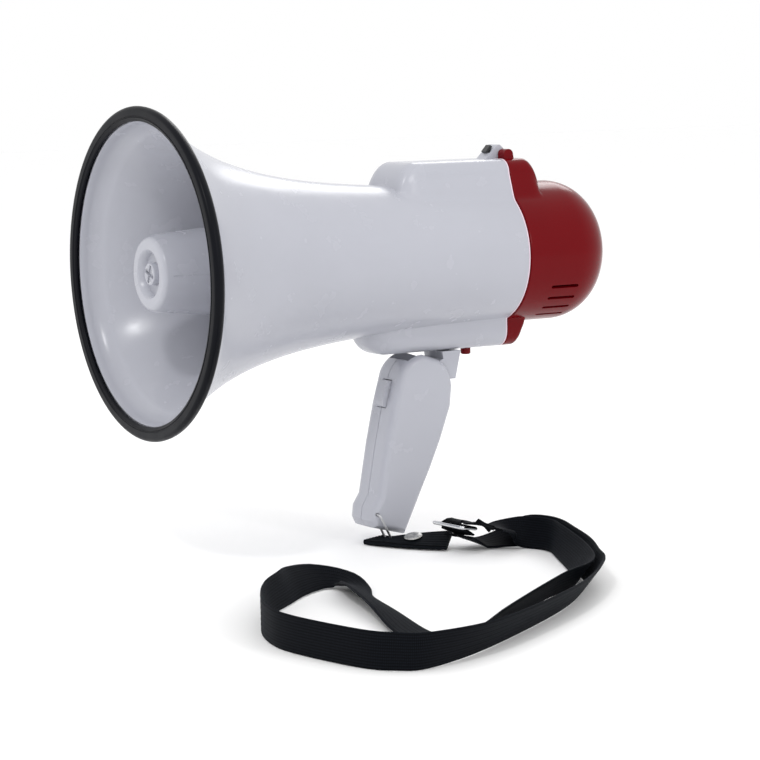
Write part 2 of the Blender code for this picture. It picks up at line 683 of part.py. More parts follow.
def screw_bore(side, y, z):
    """A blind pilot hole in the right half; in the left half a clearance hole with room for the head."""
    if side > 0:
        return rod((-0.001, y, z), (0.0080, y, z), 0.0015)
    profile = [(-0.0010, 0.0), (-0.0010, 0.0015), (0.0080, 0.0015), (0.0080, 0.0027), (0.0140, 0.0027),
               (0.0140, 0.0)]
    bore = turned(profile, SMALL)
    bmesh.ops.rotate(bore, verts=bore.verts, cent=(0, 0, 0), matrix=Matrix.Rotation(math.pi / 2, 3, "Z"))
    bmesh.ops.translate(bore, verts=bore.verts, vec=(0.0, y, z))
    return bore


GRIP_SCREWS = ((0.1505, -0.0850), (0.1422, -0.1065), (0.1325, -0.1265))


def grip_half(name, side):
    shell = piece(name, rounded_half(side), "white_plastic", FOLD_AXIS)
    ends = sorted((side * CHEEK_X, -side * 0.001))
    cut(shell, slab(grip_hollow(), *ends))
    for y, z in GRIP_SCREWS:
        add(shell, rod((side * 0.00015, y, z), (side * 0.0100, y, z), 0.0031))
    rib_low, rib_high = sorted((side * 0.0035, side * 0.0098))
    add(shell, block((rib_low, 0.0068, -0.0085), (rib_high, 0.0118, -0.0020), -TRIGGER_LEAN, TRIGGER_AT))
    for y, z in GRIP_SCREWS:
        cut(shell, screw_bore(side, y, z))
    inner_x, end_x = Vector((-side * 0.001, 0, 0)), Vector((side * 0.0110, 0, 0))
    cut(shell, rod(FOLD_AXIS + inner_x, FOLD_AXIS + end_x, PIN_R + 0.0001, 20))
    cut(shell, block((-0.0045, -0.0060, -0.0073), (0.0045, 0.0050, 0.0073), -TRIGGER_LEAN, TRIGGER_AT))
    if side > 0:
        cut(shell, swept(link_path(), circle_section(LINK_R + GAP, 6), cyclic=True, ups=across(link_path())))
    return shell


def across(path):
    normal = Vector((0.0, 0.89, 0.46)).normalized()
    return [normal for _ in path]


def handle():
    neck = [(0.1640, LOWER_DECK_Z - GAP), (0.1750, LOWER_DECK_Z - GAP), (0.1717, -0.0619), (0.1666, -0.0619)]
    hub = piece("handle_neck", slab(neck, -0.0090, 0.0090), "white_plastic")
    add(hub, rod((-0.0090, FOLD_AXIS.y, FOLD_AXIS.z), (0.0090, FOLD_AXIS.y, FOLD_AXIS.z), HUB_R, ROUND))
    web = [(0.1545, -0.0560), (0.1645, LOWER_DECK_Z - 0.0040), (0.1695, -0.0570), (0.1684, -0.0615),
           (0.1565, -0.0690)]
    add(hub, slab(web, -0.0090, 0.0090))
    cut(hub, rod((-0.02, FOLD_AXIS.y, FOLD_AXIS.z), (0.02, FOLD_AXIS.y, FOLD_AXIS.z), PIN_R + 0.0001, 20))
    for y in NECK_SCREW_YS:
        cut(hub, rod((0, y, LOWER_DECK_Z + 0.004), (0, y, LOWER_DECK_Z - 0.0075), 0.0015))
    half = Vector((0.0107, 0, 0))
    piece("fold_pin", rod(FOLD_AXIS - half, FOLD_AXIS + half, PIN_R, 20), "steel")
    top = LOWER_DECK_Z + WALL
    for n, y in enumerate(NECK_SCREW_YS, 1):
        screw = piece(f"neck_screw_{n}", rod((0, y, top + GAP), (0, y, top + 0.0022), 0.0023), "steel")
        add(screw, rod((0, y, top + 0.0010), (0, y, LOWER_DECK_Z - 0.0070), 0.0012))
    grip_half("grip_shell_right", 1)
    grip_half("grip_shell_left", -1)
    for n, (y, z) in enumerate(GRIP_SCREWS, 1):
        screw = piece(f"grip_screw_{n}", rod((-0.0112, y, z), (-0.0083, y, z), 0.0024), "steel", FOLD_AXIS)
        add(screw, rod((-0.0090, y, z), (0.0070, y, z), 0.0012))


def trigger():
    """The push button in the grip's front, with a flange that keeps it in, and its switch."""
    face = [(-0.0020, 0.0058), (-0.0026, 0.0030), (-0.0026, -0.0030), (-0.0020, -0.0058), (-0.0002, -0.0070),
            (0.0030, -0.0070), (0.0030, 0.0070), (-0.0002, 0.0070)]
    bm = slab(face, -0.0042, 0.0042)
    bmesh.ops.rotate(bm, verts=bm.verts, cent=(0, 0, 0), matrix=Matrix.Rotation(-TRIGGER_LEAN, 3, "X"))
    bmesh.ops.translate(bm, verts=bm.verts, vec=TRIGGER_AT)
    button = piece("trigger", bm, "white_plastic", TRIGGER_AT)
    add(button, block((-0.0056, 0.0026, -0.0082), (0.0056, 0.0038, 0.0082), -TRIGGER_LEAN, TRIGGER_AT))
    switch = block((-0.0032, 0.0064, -0.0095), (0.0032, 0.0122, -0.0010), -TRIGGER_LEAN, TRIGGER_AT)
    piece("trigger_switch", switch, "black_plastic", FOLD_AXIS)


# ---------------------------------------------------------------- strap

# The webbing's centreline: x, y, height of its middle above the surface it lies on, and its lean from
# upright in degrees, where it leans away from its left side.
STRAP_ROUTE = (
    (0.0530, 0.1440, 0.0082, -87), (0.0500, 0.1500, 0.0066, -85), (0.0482, 0.1600, 0.0025, -82),
    (0.0520, 0.1720, 0.0045, -62), (0.0590, 0.1800, 0.0078, -24), (0.0690, 0.1855, 0.0082, -8),
    (0.0820, 0.1848, 0.0081, -10), (0.1000, 0.1782, 0.0080, -16), (0.1235, 0.1693, 0.0076, -26),
    (0.1430, 0.1590, 0.0071, -35), (0.1673, 0.1446, 0.0071, -37), (0.2060, 0.1040, 0.0071, -37),
    (0.2500, 0.0360, 0.0074, -30), (0.2650, -0.0040, 0.0081, -12), (0.2590, -0.0175, 0.0082, -4),
    (0.2450, -0.0260, 0.0082, 0), (0.2060, -0.0345, 0.0082, 0), (0.1820, -0.0325, 0.0082, 0),
    (0.1580, -0.0225, 0.0082, 0), (0.1360, -0.0080, 0.0082, -8), (0.1170, 0.0105, 0.0079, -20),
    (0.1010, 0.0260, 0.0070, -38), (0.0910, 0.0425, 0.0057, -52), (0.0945, 0.0530, 0.0038, -72),
    (0.1060, 0.0530, 0.0024, -98), (0.1280, 0.0430, 0.0048, -118), (0.1620, 0.0345, 0.0042, -113),
    (0.2030, 0.0240, 0.0018, -95), (0.2230, 0.0235, 0.0018, -93), (0.2305, 0.0340, 0.0030, -106),
    (0.2240, 0.0510, 0.0059, -131), (0.1830, 0.1110, 0.0071, -143), (0.1640, 0.1405, 0.0071, -143),
    (0.1368, 0.1579, 0.0073, -146), (0.0980, 0.1742, 0.0080, -164), (0.0780, 0.1812, 0.0082, -171),
    (0.0640, 0.1780, 0.0080, -165), (0.0590, 0.1690, 0.0095, -122), (0.0650, 0.1600, 0.0118, -96),
    (0.0660, 0.1560, 0.0126, -92),
)


def smooth_points(points, step):
    """Catmull-Rom points about a step apart through the given ones, each a tuple of four numbers."""
    out = []
    for i in range(len(points) - 1):
        p = [points[max(i - 1, 0)], points[i], points[i + 1], points[min(i + 2, len(points) - 1)]]
        span = math.dist(p[1][:3], p[2][:3])
        count = max(1, round(span / step))
        for n in range(count):
            t = n / count
            out.append(tuple(
                0.5 * (2 * b + (c - a) * t + (2 * a - 5 * b + 4 * c - d) * t * t + (3 * b - a - 3 * c + d) * t**3)
                for a, b, c, d in zip(*p)
            ))
    return out + [points[-1]]


def ribbon(route, width, thick, step):
    """A flat strip along a route; each point's lean tips the strip about its own direction."""
    fine = smooth_points(route, step)
    path = [Vector((x, y, FLOOR_Z + h)) for x, y, h, _ in fine]
    ups = []
    for i, (_, _, _, lean) in enumerate(fine):
        along = (path[min(i + 1, len(path) - 1)] - path[max(i - 1, 0)]).normalized()
        ups.append(Matrix.Rotation(math.radians(lean), 3, along) @ Vector((0.0, 0.0, 1.0)))
    half_w, half_t = width / 2, thick / 2
    section = [(-half_t, -half_w), (half_t, -half_w), (half_t, half_w), (-half_t, half_w)]
    return swept(path, section, ups=ups)


TAB_ROUTE = (
    (0.0050, 0.1240, 0.0018, -88), (0.0110, 0.1258, 0.0018, -88), (0.0180, 0.1285, 0.0026, -84),
    (0.0280, 0.1335, 0.0036, -76), (0.0370, 0.1395, 0.0043, -70), (0.0430, 0.1450, 0.0046, -67),
)
RIVET_AT = Vector((0.0280, 0.1335, FLOOR_Z + 0.0036))
RIVET_LEAN = math.radians(-76)
BUCKLE_AT = Vector((0.0500, 0.1440, FLOOR_Z + 0.0130))


def strap():
    link = link_path()
    piece("strap_link", swept(link, circle_section(LINK_R, 6), cyclic=True, ups=across(link)), "steel", FOLD_AXIS)
    tab = piece("strap_tab", ribbon(TAB_ROUTE, WEB_WIDTH, 0.0028, 0.0060), "webbing", FOLD_AXIS)
    cut(tab, swept(link, circle_section(LINK_R + GAP, 6), cyclic=True, ups=across(link)))
    along = Vector((0.0095, 0.0055, 0.0)).normalized()
    face = Matrix.Rotation(RIVET_LEAN, 3, along) @ Vector((0.0, 0.0, 1.0))
    out = along.cross(face).normalized()
    cut(tab, rod(RIVET_AT - out * 0.004, RIVET_AT + out * 0.004, 0.0019))
    shank = rod(RIVET_AT - out * 0.0024, RIVET_AT + out * 0.0024, 0.0016)
    rivet = piece("strap_rivet", shank, "steel", FOLD_AXIS)
    add(rivet, rod(RIVET_AT + out * 0.0021, RIVET_AT + out * 0.0030, 0.0044, 16))
    add(rivet, rod(RIVET_AT - out * 0.0027, RIVET_AT - out * 0.0021, 0.0030, 16))
    frame = block((-0.0105, -0.0065, -0.0009), (0.0105, 0.0065, 0.0009))
    turn = Matrix.Rotation(math.radians(-10), 3, "X") @ Matrix.Rotation(math.radians(15), 3, "Z")
    windows = [block((-0.0085, low, -0.002), (0.0085, low + 0.0036, 0.002)) for low in (-0.0047, 0.0011)]
    for bm in (frame, *windows):
        bmesh.ops.transform(bm, verts=bm.verts, matrix=Matrix.Translation(BUCKLE_AT) @ turn.to_4x4())
    buckle = piece("strap_buckle", frame, "steel", FOLD_AXIS)
    cut(buckle, joined(*windows))
    piece("strap_webbing", ribbon(STRAP_ROUTE, WEB_WIDTH, WEB_THICK, 0.0130), "webbing", FOLD_AXIS)


horn_body()
rim_bumper()
reflector()
reflector_screw()
throat_tube()
driver()
battery_pack()
electronics()
mode_slider()
rear_cap()
cap_fittings()
latch()
handle()
trigger()
strap()
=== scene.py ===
"""The looks of the handheld megaphone: fine surfaces, materials, strap, light and camera.

Shapes are laid out in the horn's own frame, as the CAD is: y is counted from the mouth's front plane,
x and z from the horn's axis. HORN is where that frame's origin lies in the world.
"""

import json
import math

import bmesh
import bpy
from mathutils import Matrix, Vector


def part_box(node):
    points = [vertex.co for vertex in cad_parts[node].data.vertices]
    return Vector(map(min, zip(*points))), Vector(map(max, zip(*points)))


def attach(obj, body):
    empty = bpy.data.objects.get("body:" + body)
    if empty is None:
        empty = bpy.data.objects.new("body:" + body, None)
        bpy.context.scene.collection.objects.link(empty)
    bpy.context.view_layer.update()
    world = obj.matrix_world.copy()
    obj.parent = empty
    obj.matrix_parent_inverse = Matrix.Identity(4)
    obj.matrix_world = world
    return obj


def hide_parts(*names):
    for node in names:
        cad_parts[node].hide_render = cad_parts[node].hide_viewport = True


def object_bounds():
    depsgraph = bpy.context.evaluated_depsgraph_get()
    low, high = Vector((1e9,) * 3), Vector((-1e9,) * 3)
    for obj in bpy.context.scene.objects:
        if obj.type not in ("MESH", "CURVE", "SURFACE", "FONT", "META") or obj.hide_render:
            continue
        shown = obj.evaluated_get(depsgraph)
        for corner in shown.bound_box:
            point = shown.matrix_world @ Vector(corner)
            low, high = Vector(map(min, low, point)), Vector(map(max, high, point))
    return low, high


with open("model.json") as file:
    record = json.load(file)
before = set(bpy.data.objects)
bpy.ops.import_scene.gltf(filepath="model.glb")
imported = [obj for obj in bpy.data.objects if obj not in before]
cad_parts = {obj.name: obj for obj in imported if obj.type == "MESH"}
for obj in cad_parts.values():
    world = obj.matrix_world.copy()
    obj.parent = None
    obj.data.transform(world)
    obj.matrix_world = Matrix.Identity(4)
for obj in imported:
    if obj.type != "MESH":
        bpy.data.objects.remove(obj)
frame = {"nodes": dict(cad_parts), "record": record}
cad_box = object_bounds()


def joint_at(name):
    for joint in frame["record"]["behaviour"]["joints"]:
        if joint["name"] == name:
            return Vector(joint["pos_m"])


ring_low, ring_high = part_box("rim_bumper")
HORN = Vector((0.0, ring_low[1], (ring_low[2] + ring_high[2]) / 2))
MOUTH_R = (ring_high[2] - ring_low[2]) / 2
SEAM_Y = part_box("horn_body")[1][1] - HORN.y - 0.0066
CAP_END_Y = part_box("rear_cap")[1][1] - HORN.y
CAP_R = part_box("rear_cap")[1][0]
GRIP_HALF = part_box("grip_shell_right")[1][0]
FLOOR_Z = cad_box[0][2] - HORN.z - 0.0001
STRAP_FLOOR_Z = -0.1420
FOLD_AXIS = joint_at("handle_fold") - HORN
CAP_AXIS = joint_at("cap_hinge") - HORN
TRIGGER_AT = joint_at("trigger_press") - HORN
LATCH_AT = joint_at("latch_press") - HORN
TRIGGER_LEAN = math.radians(16.1)

BARREL_R = 0.0345
FLARE = 0.0460
FLARE_LENGTH = 0.0470
WALL = 0.0022
UPPER_DECK_Z = 0.0482
LOWER_DECK_Z = -0.0474
LOWER_DECK_HALF = 0.0130
UPPER_BASE_HALF = 0.0225
GAP = 0.0003
HUMP_HALF = 0.0045
KNUCKLE_R = 0.0028
KNUCKLE_END_X = 0.0105
FLANGE_Y = 0.0920
CELL_R = 0.0131
WEB_WIDTH = 0.0160
WEB_THICK = 0.0013

FINE = 192
ROUND = 64

CAMERA_AT = (1.16796, -0.70857, 0.19767)
CAMERA_RIGHT = (0.51298, 0.85818, -0.01953)
CAMERA_UP = (-0.09111, 0.07705, 0.99285)
CAMERA_TILT = 0.00062
CAMERA_LENS = 128.87


# ---------------------------------------------------------------- camera and light


def camera():
    data = bpy.data.cameras.new("camera")
    data.lens = CAMERA_LENS
    data.sensor_width = 36.0
    data.clip_end = 20.0
    cam = bpy.data.objects.new("camera", data)
    right, up = Vector(CAMERA_RIGHT), Vector(CAMERA_UP)
    turn = Matrix((right, up, right.cross(up))).transposed().to_4x4()
    cam.matrix_world = Matrix.Translation(CAMERA_AT) @ turn @ Matrix.Rotation(CAMERA_TILT, 4, "X")
    bpy.context.collection.objects.link(cam)
    bpy.context.scene.camera = cam


def area_light(name, place, aim, size, power, colour=(1.0, 1.0, 1.0)):
    data = bpy.data.lights.new(name, "AREA")
    data.shape = "RECTANGLE"
    data.size, data.size_y = size
    data.energy = power
    data.color = colour
    light = bpy.data.objects.new(name, data)
    place, aim = Vector(place), Vector(aim)
    light.location = place
    light.rotation_mode = "QUATERNION"
    light.rotation_quaternion = (aim - place).to_track_quat("-Z", "Y")
    bpy.context.collection.objects.link(light)


def studio():
    world = bpy.data.worlds.new("studio")
    world.use_nodes = True
    world.node_tree.nodes["Background"].inputs["Color"].default_value = (1.0, 1.0, 1.0, 1.0)
    world.node_tree.nodes["Background"].inputs["Strength"].default_value = 1.0
    bpy.context.scene.world = world
    bpy.context.scene.view_settings.view_transform = "Standard"
    middle = (0.0, 0.0, 0.08)
    area_light("key", (0.75, -1.0, 1.25), middle, (0.16, 0.16), 5.0)
    area_light("side", (1.5, 0.35, 0.75), middle, (0.14, 0.5), 3.0)
    area_light("back", (-0.9, 0.9, 0.9), middle, (0.5, 0.5), 3.0)
    floor = bpy.data.objects.new("floor", bpy.data.meshes.new("floor"))
    bm = bmesh.new()
    bmesh.ops.create_grid(bm, x_segments=2, y_segments=2, size=6.0)
    bmesh.ops.translate(bm, verts=bm.verts, vec=(0.0, 0.0, FLOOR_Z + HORN.z))
    bm.to_mesh(floor.data)
    bm.free()
    paper = bpy.data.materials.new("paper")
    paper.use_nodes = True
    shader = paper.node_tree.nodes["Principled BSDF"]
    shader.inputs["Base Color"].default_value = (1.0, 1.0, 1.0, 1.0)
    shader.inputs["Roughness"].default_value = 0.9
    floor.data.materials.append(paper)
    bpy.context.collection.objects.link(floor)


# ---------------------------------------------------------------- materials


def blank(name, colour, roughness, metallic=0.0):
    material = bpy.data.materials.new(name)
    material.use_nodes = True
    shader = material.node_tree.nodes["Principled BSDF"]
    shader.inputs["Base Color"].default_value = (*colour, 1.0)
    shader.inputs["Roughness"].default_value = roughness
    shader.inputs["Metallic"].default_value = metallic
    return material, shader


def node(material, kind, **values):
    made = material.node_tree.nodes.new(kind)
    for key, value in values.items():
        if key in made.inputs:
            made.inputs[key].default_value = value
        else:
            setattr(made, key, value)
    return made


def link(material, out, into):
    material.node_tree.links.new(out, into)


def noise(material, scale, detail=3.0, roughness=0.5):
    """Noise in the object's own metres, with scale as features per metre."""
    place = node(material, "ShaderNodeTexCoord")
    made = node(material, "ShaderNodeTexNoise", Scale=scale, Detail=detail, Roughness=roughness)
    link(material, place.outputs["Object"], made.inputs["Vector"])
    return made.outputs["Fac"]


def spread(material, value, low, high):
    """A 0 to 1 value mapped to low..high, taken from its busy middle range."""
    made = node(material, "ShaderNodeMapRange", **{
        "From Min": 0.3, "From Max": 0.7, "To Min": low, "To Max": high})
    link(material, value, made.inputs["Value"])
    return made.outputs["Result"]


def tinted(material, shader, value, dark, light):
    ramp = node(material, "ShaderNodeValToRGB")
    ramp.color_ramp.elements[0].position = 0.3
    ramp.color_ramp.elements[0].color = (*dark, 1.0)
    ramp.color_ramp.elements[1].position = 0.7
    ramp.color_ramp.elements[1].color = (*light, 1.0)
    link(material, value, ramp.inputs["Fac"])
    link(material, ramp.outputs["Color"], shader.inputs["Base Color"])


def bumped(material, shader, height, distance, strength=1.0):
    bump = node(material, "ShaderNodeBump", Strength=strength, Distance=distance)
    link(material, height, bump.inputs["Height"])
    link(material, bump.outputs["Normal"], shader.inputs["Normal"])


def scaled(colour, factor):
    return tuple(c * factor for c in colour)


def moulded(name, colour, roughness, grain, grain_depth, coat=0.0, vary=0.03, specular=0.5):
    """Moulded plastic: a faint change of tone, uneven gloss and the mould's fine texture."""
    material, shader = blank(name, colour, roughness)
    tinted(material, shader, noise(material, 22.0), scaled(colour, 1 - vary), scaled(colour, 1 + vary))
    uneven = spread(material, noise(material, 90.0, 4.0), roughness * 0.85, roughness * 1.2)
    link(material, uneven, shader.inputs["Roughness"])
    bumped(material, shader, noise(material, grain, 2.0), grain_depth, 0.5)
    shader.inputs["Specular IOR Level"].default_value = specular
    shader.inputs["Coat Weight"].default_value = coat
    shader.inputs["Coat Roughness"].default_value = 0.08
    return material


def metal(name, colour, roughness, grain=1500.0, depth=0.00004):
    material, shader = blank(name, colour, roughness, 1.0)
    uneven = spread(material, noise(material, 260.0, 5.0), roughness * 0.7, roughness * 1.5)
    link(material, uneven, shader.inputs["Roughness"])
    tinted(material, shader, noise(material, 120.0), scaled(colour, 0.86), colour)
    bumped(material, shader, noise(material, grain, 3.0), depth, 0.6)
    return material


def webbing():
    """Woven strap: ribs along u and wales along v; u runs along the strap and v across it, in metres."""
    dark, light = (0.0012, 0.0015, 0.0024), (0.0060, 0.0075, 0.0110)
    material, shader = blank("webbing_look", light, 0.72)
    place = node(material, "ShaderNodeUVMap")
    ribs = node(material, "ShaderNodeTexWave", wave_type="BANDS", bands_direction="X", Scale=420.0)
    link(material, place.outputs["UV"], ribs.inputs["Vector"])
    wales = node(material, "ShaderNodeTexWave", wave_type="BANDS", bands_direction="Y", Scale=260.0)
    link(material, place.outputs["UV"], wales.inputs["Vector"])
    weave = node(material, "ShaderNodeMath", operation="MULTIPLY")
    link(material, ribs.outputs["Fac"], weave.inputs[0])
    link(material, wales.outputs["Fac"], weave.inputs[1])
    fluff = node(material, "ShaderNodeMath", operation="MULTIPLY_ADD")
    fluff.inputs[1].default_value = 0.5
    link(material, noise(material, 2600.0, 3.0), fluff.inputs[0])
    link(material, weave.outputs["Value"], fluff.inputs[2])
    tinted(material, shader, fluff.outputs["Value"], dark, light)
    bumped(material, shader, fluff.outputs["Value"], 0.00008, 0.6)
    shader.inputs["Sheen Weight"].default_value = 0.02
    shader.inputs["Sheen Roughness"].default_value = 0.4
    shader.inputs["Sheen Tint"].default_value = (0.5, 0.6, 0.75, 1.0)
    shader.inputs["Specular IOR Level"].default_value = 0.06
    return material


def hammered():
    material, shader = blank("rivet_look", (0.62, 0.62, 0.60), 0.42, 1.0)
    tinted(material, shader, noise(material, 900.0, 4.0), (0.34, 0.34, 0.34), (0.56, 0.56, 0.54))
    bumped(material, shader, noise(material, 1100.0, 3.0), 0.00030, 0.8)
    return material


def cell_label():
    """A battery's printed jacket: a dark band, a copper band and bright ends, with no lettering."""
    material, shader = blank("cell_look", (0.02, 0.03, 0.06), 0.3)
    place = node(material, "ShaderNodeTexCoord")
    split = node(material, "ShaderNodeSeparateXYZ")
    link(material, place.outputs["Object"], split.inputs["Vector"])
    ramp = node(material, "ShaderNodeValToRGB")
    ramp.color_ramp.interpolation = "CONSTANT"
    ramp.color_ramp.elements[0].color = (0.02, 0.03, 0.07, 1.0)
    ramp.color_ramp.elements[1].position = 0.62
    ramp.color_ramp.elements[1].color = (0.55, 0.28, 0.10, 1.0)
    top = ramp.color_ramp.elements.new(0.94)
    top.color = (0.6, 0.6, 0.62, 1.0)
    along = node(material, "ShaderNodeMapRange", **{
        "From Min": HORN.y + 0.1460, "From Max": HORN.y + 0.1955})
    link(material, split.outputs["Y"], along.inputs["Value"])
    link(material, along.outputs["Result"], ramp.inputs["Fac"])
    link(material, ramp.outputs["Color"], shader.inputs["Base Color"])
    uneven = spread(material, noise(material, 180.0), 0.22, 0.36)
    link(material, uneven, shader.inputs["Roughness"])
    return material


# After its name, each moulded look gives its colour, roughness, grain per metre, the grain's depth, coat,
# change of tone and specular level.
MATERIALS = {
    "white_plastic": moulded("white_look", (0.44, 0.447, 0.497), 0.24, 700.0, 0.00001, 0.0, 0.02, 0.4),
    "red_plastic": moulded("red_look", (0.138, 0.0006, 0.003), 0.19, 700.0, 0.00002, 0.0, 0.05, 0.12),
    "rubber": moulded("rubber_look", (0.003, 0.0035, 0.006), 0.34, 1500.0, 0.00004, 0.0, 0.2, 0.1),
    "black_plastic": moulded("black_look", (0.012, 0.012, 0.014), 0.38, 2200.0, 0.00008, 0.0, 0.15),
    "foam": moulded("foam_look", (0.02, 0.02, 0.022), 0.95, 1400.0, 0.0006, 0.0, 0.4),
    "board": moulded("board_look", (0.02, 0.13, 0.05), 0.35, 500.0, 0.00003, 0.2, 0.3),
    "film": moulded("film_look", (0.45, 0.30, 0.14), 0.3, 400.0, 0.00004, 0.0, 0.1),
    "ferrite": moulded("ferrite_look", (0.05, 0.05, 0.055), 0.6, 1800.0, 0.00015, 0.0, 0.3),
    "steel": metal("steel_look", (0.58, 0.58, 0.60), 0.28),
    "chrome": metal("chrome_look", (0.72, 0.73, 0.75), 0.14),
    "copper": metal("copper_look", (0.72, 0.34, 0.18), 0.3),
    "cell_jacket": cell_label(),
    "webbing": webbing(),
}
RIVET_LOOK = hammered()
# A bright pinkish look for the seam's thin ring: a painted highlight on the moulding's edge.
SEAM_HIGHLIGHT_LOOK = moulded("painted_seam_highlight_look", (0.80, 0.62, 0.70), 0.3, 700.0, 0.00001, 0.0, 0.03, 0.4)


# ---------------------------------------------------------------- shapes, as bmesh


def horn_radius(y):
    """The horn's outer radius: an exponential flare that runs out into the barrel."""
    return BARREL_R + FLARE * math.exp(-y / FLARE_LENGTH)


def arc(centre, radius, start, end, steps):
    """Points along an arc, with angles in degrees."""
    points = []
    for i in range(steps + 1):
        a = math.radians(start + (end - start) * i / steps)
        points.append((centre[0] + radius * math.cos(a), centre[1] + radius * math.sin(a)))
    return points


def around(point, radius, start, end, steps):
    """An arc in the side view, round a 3-D point."""
    return arc((point.y, point.z), radius, start, end, steps)


def span(start, end, count):
    return [start + (end - start) * i / count for i in range(count + 1)]


def bridge(bm, rings, loop):
    """Faces between rings of equal length; a ring of one vertex is a pole."""
    pairs = list(zip(rings, rings[1:]))
    if loop:
        pairs.append((rings[-1], rings[0]))
    for near, far in pairs:
        count = max(len(near), len(far))
        if count == 1:
            continue
        for i in range(count):
            j = (i + 1) % count
            corners = [near[i % len(near)], near[j % len(near)], far[j % len(far)], far[i % len(far)]]
            bm.faces.new(dict.fromkeys(corners))


def closed(bm):
    bmesh.ops.recalc_face_normals(bm, faces=bm.faces)
    return bm


def turned(profile, segments=ROUND, axis_at=(0.0, 0.0, 0.0)):
    """A solid turned about Y from a closed outline of (y, r) points."""
    bm = bmesh.new()
    turn = [2 * math.pi * i / segments for i in range(segments)]
    rings = []
    for y, r in profile:
        if r < 1e-7:
            rings.append([bm.verts.new((0.0, y, 0.0))])
        else:
            rings.append([bm.verts.new((r * math.sin(a), y, r * math.cos(a))) for a in turn])
    bridge(bm, rings, loop=True)
    bmesh.ops.translate(bm, verts=bm.verts, vec=Vector(axis_at))
    return closed(bm)


def rounded(profile, radius, steps=4, skip=()):
    """A closed outline with every corner rounded off, as far as its sides allow."""
    out = []
    count = len(profile)
    for i in range(count):
        a, b, c = Vector(profile[i - 1]), Vector(profile[i]), Vector(profile[(i + 1) % count])
        if i in skip or b.y < 1e-7 or (a - b).length < 1e-7 or (c - b).length < 1e-7:
            out.append(tuple(b))
            continue
        reach = min(radius, (a - b).length * 0.45, (c - b).length * 0.45)
        start, end = b + (a - b).normalized() * reach, b + (c - b).normalized() * reach
        for k in range(steps + 1):
            t = k / steps
            out.append(tuple(start * (1 - t) ** 2 + b * 2 * t * (1 - t) + end * t * t))
    return out


def lofted(sections):
    """A solid through closed sections that have the same number of 3-D points."""
    bm = bmesh.new()
    rings = [[bm.verts.new(p) for p in section] for section in sections]
    bridge(bm, rings, loop=False)
    ends = [bm.faces.new(rings[0]), bm.faces.new(rings[-1])]
    bm.normal_update()
    bmesh.ops.triangulate(bm, faces=ends)
    return closed(bm)


def slab(outline, x0, x1):
    """An outline of (y, z) points made solid between two x."""
    return lofted([[(x, y, z) for y, z in outline] for x in (x0, x1)])


def rod(start, end, radius, segments=32):
    start, end = Vector(start), Vector(end)
    bm = bmesh.new()
    turn = (end - start).to_track_quat("Z", "Y").to_matrix().to_4x4()
    bmesh.ops.create_cone(
        bm, cap_ends=True, segments=segments, radius1=radius, radius2=radius,
        depth=(end - start).length, matrix=Matrix.Translation((start + end) / 2) @ turn,
    )
    return closed(bm)


def block(low, high, lean=0.0, about=(0.0, 0.0, 0.0)):
    """A box, optionally leaned about X round a point; its corners are given from that point."""
    bm = bmesh.new()
    bmesh.ops.create_cube(bm, size=1.0)
    low, high = Vector(low), Vector(high)
    for v in bm.verts:
        v.co = Vector([low[k] if v.co[k] < 0 else high[k] for k in range(3)])
    bmesh.ops.rotate(bm, verts=bm.verts, cent=(0, 0, 0), matrix=Matrix.Rotation(lean, 3, "X"))
    bmesh.ops.translate(bm, verts=bm.verts, vec=Vector(about))
    return bm


def swept(path, section, cyclic=False, ups=None):
    """A section of (side, up) points carried along a path. ups gives the up direction at each point."""
    bm = bmesh.new()
    rings = []
    up = Vector((0.0, 0.0, 1.0))
    count = len(path)
    for i, point in enumerate(path):
        before = path[i - 1] if cyclic or i else path[i]
        after = path[(i + 1) % count] if cyclic or i < count - 1 else path[i]
        along = (after - before).normalized()
        wanted = ups[i] if ups else up
        if abs(along.dot(wanted)) > 0.98:
            wanted = Vector((1.0, 0.0, 0.0))
        side = along.cross(wanted).normalized()
        up = side.cross(along).normalized()
        rings.append([bm.verts.new(point + side * s + up * u) for s, u in section])
    bridge(bm, rings, loop=cyclic)
    if not cyclic:
        bm.faces.new(rings[0])
        bm.faces.new(rings[-1])
    return closed(bm)


def joined(*parts):
    """Several bmeshes as one."""
    whole = bmesh.new()
    for part in parts:
        mesh = bpy.data.meshes.new("joining")
        part.to_mesh(mesh)
        whole.from_mesh(mesh)
        bpy.data.meshes.remove(mesh)
        part.free()
    return whole


def circle_section(radius, sides):
    return arc((0.0, 0.0), radius, 0, 360 - 360 / sides, sides - 1)


# ---------------------------------------------------------------- pieces


def piece(name, bm, kind, body, *nodes, sharp=38.0, material=None):
    """A visible piece from a bmesh in the horn's frame, riding on a body in place of CAD nodes."""
    obj = bpy.data.objects.new(name, bpy.data.meshes.new(name))
    bmesh.ops.translate(bm, verts=bm.verts, vec=HORN)
    bm.to_mesh(obj.data)
    bm.free()
    bpy.context.collection.objects.link(obj)
    obj.data.shade_smooth()
    obj.data.set_sharp_from_angle(angle=math.radians(sharp))
    obj.data.materials.append(material or MATERIALS[kind])
    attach(obj, body)
    if nodes:
        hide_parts(*nodes)
    return obj


def carved(obj, bm, operation="DIFFERENCE"):
    """Applies a Boolean at once and removes its other shape."""
    guide = bpy.data.objects.new("guide", bpy.data.meshes.new("guide"))
    bmesh.ops.translate(bm, verts=bm.verts, vec=HORN)
    bm.to_mesh(guide.data)
    bm.free()
    bpy.context.collection.objects.link(guide)
    change = obj.modifiers.new("carve", "BOOLEAN")
    change.operation = operation
    change.object = guide
    bpy.context.view_layer.update()
    result = bpy.data.meshes.new_from_object(obj.evaluated_get(bpy.context.evaluated_depsgraph_get()))
    obj.modifiers.clear()
    obj.data = result
    bpy.data.objects.remove(guide, do_unlink=True)
    return obj


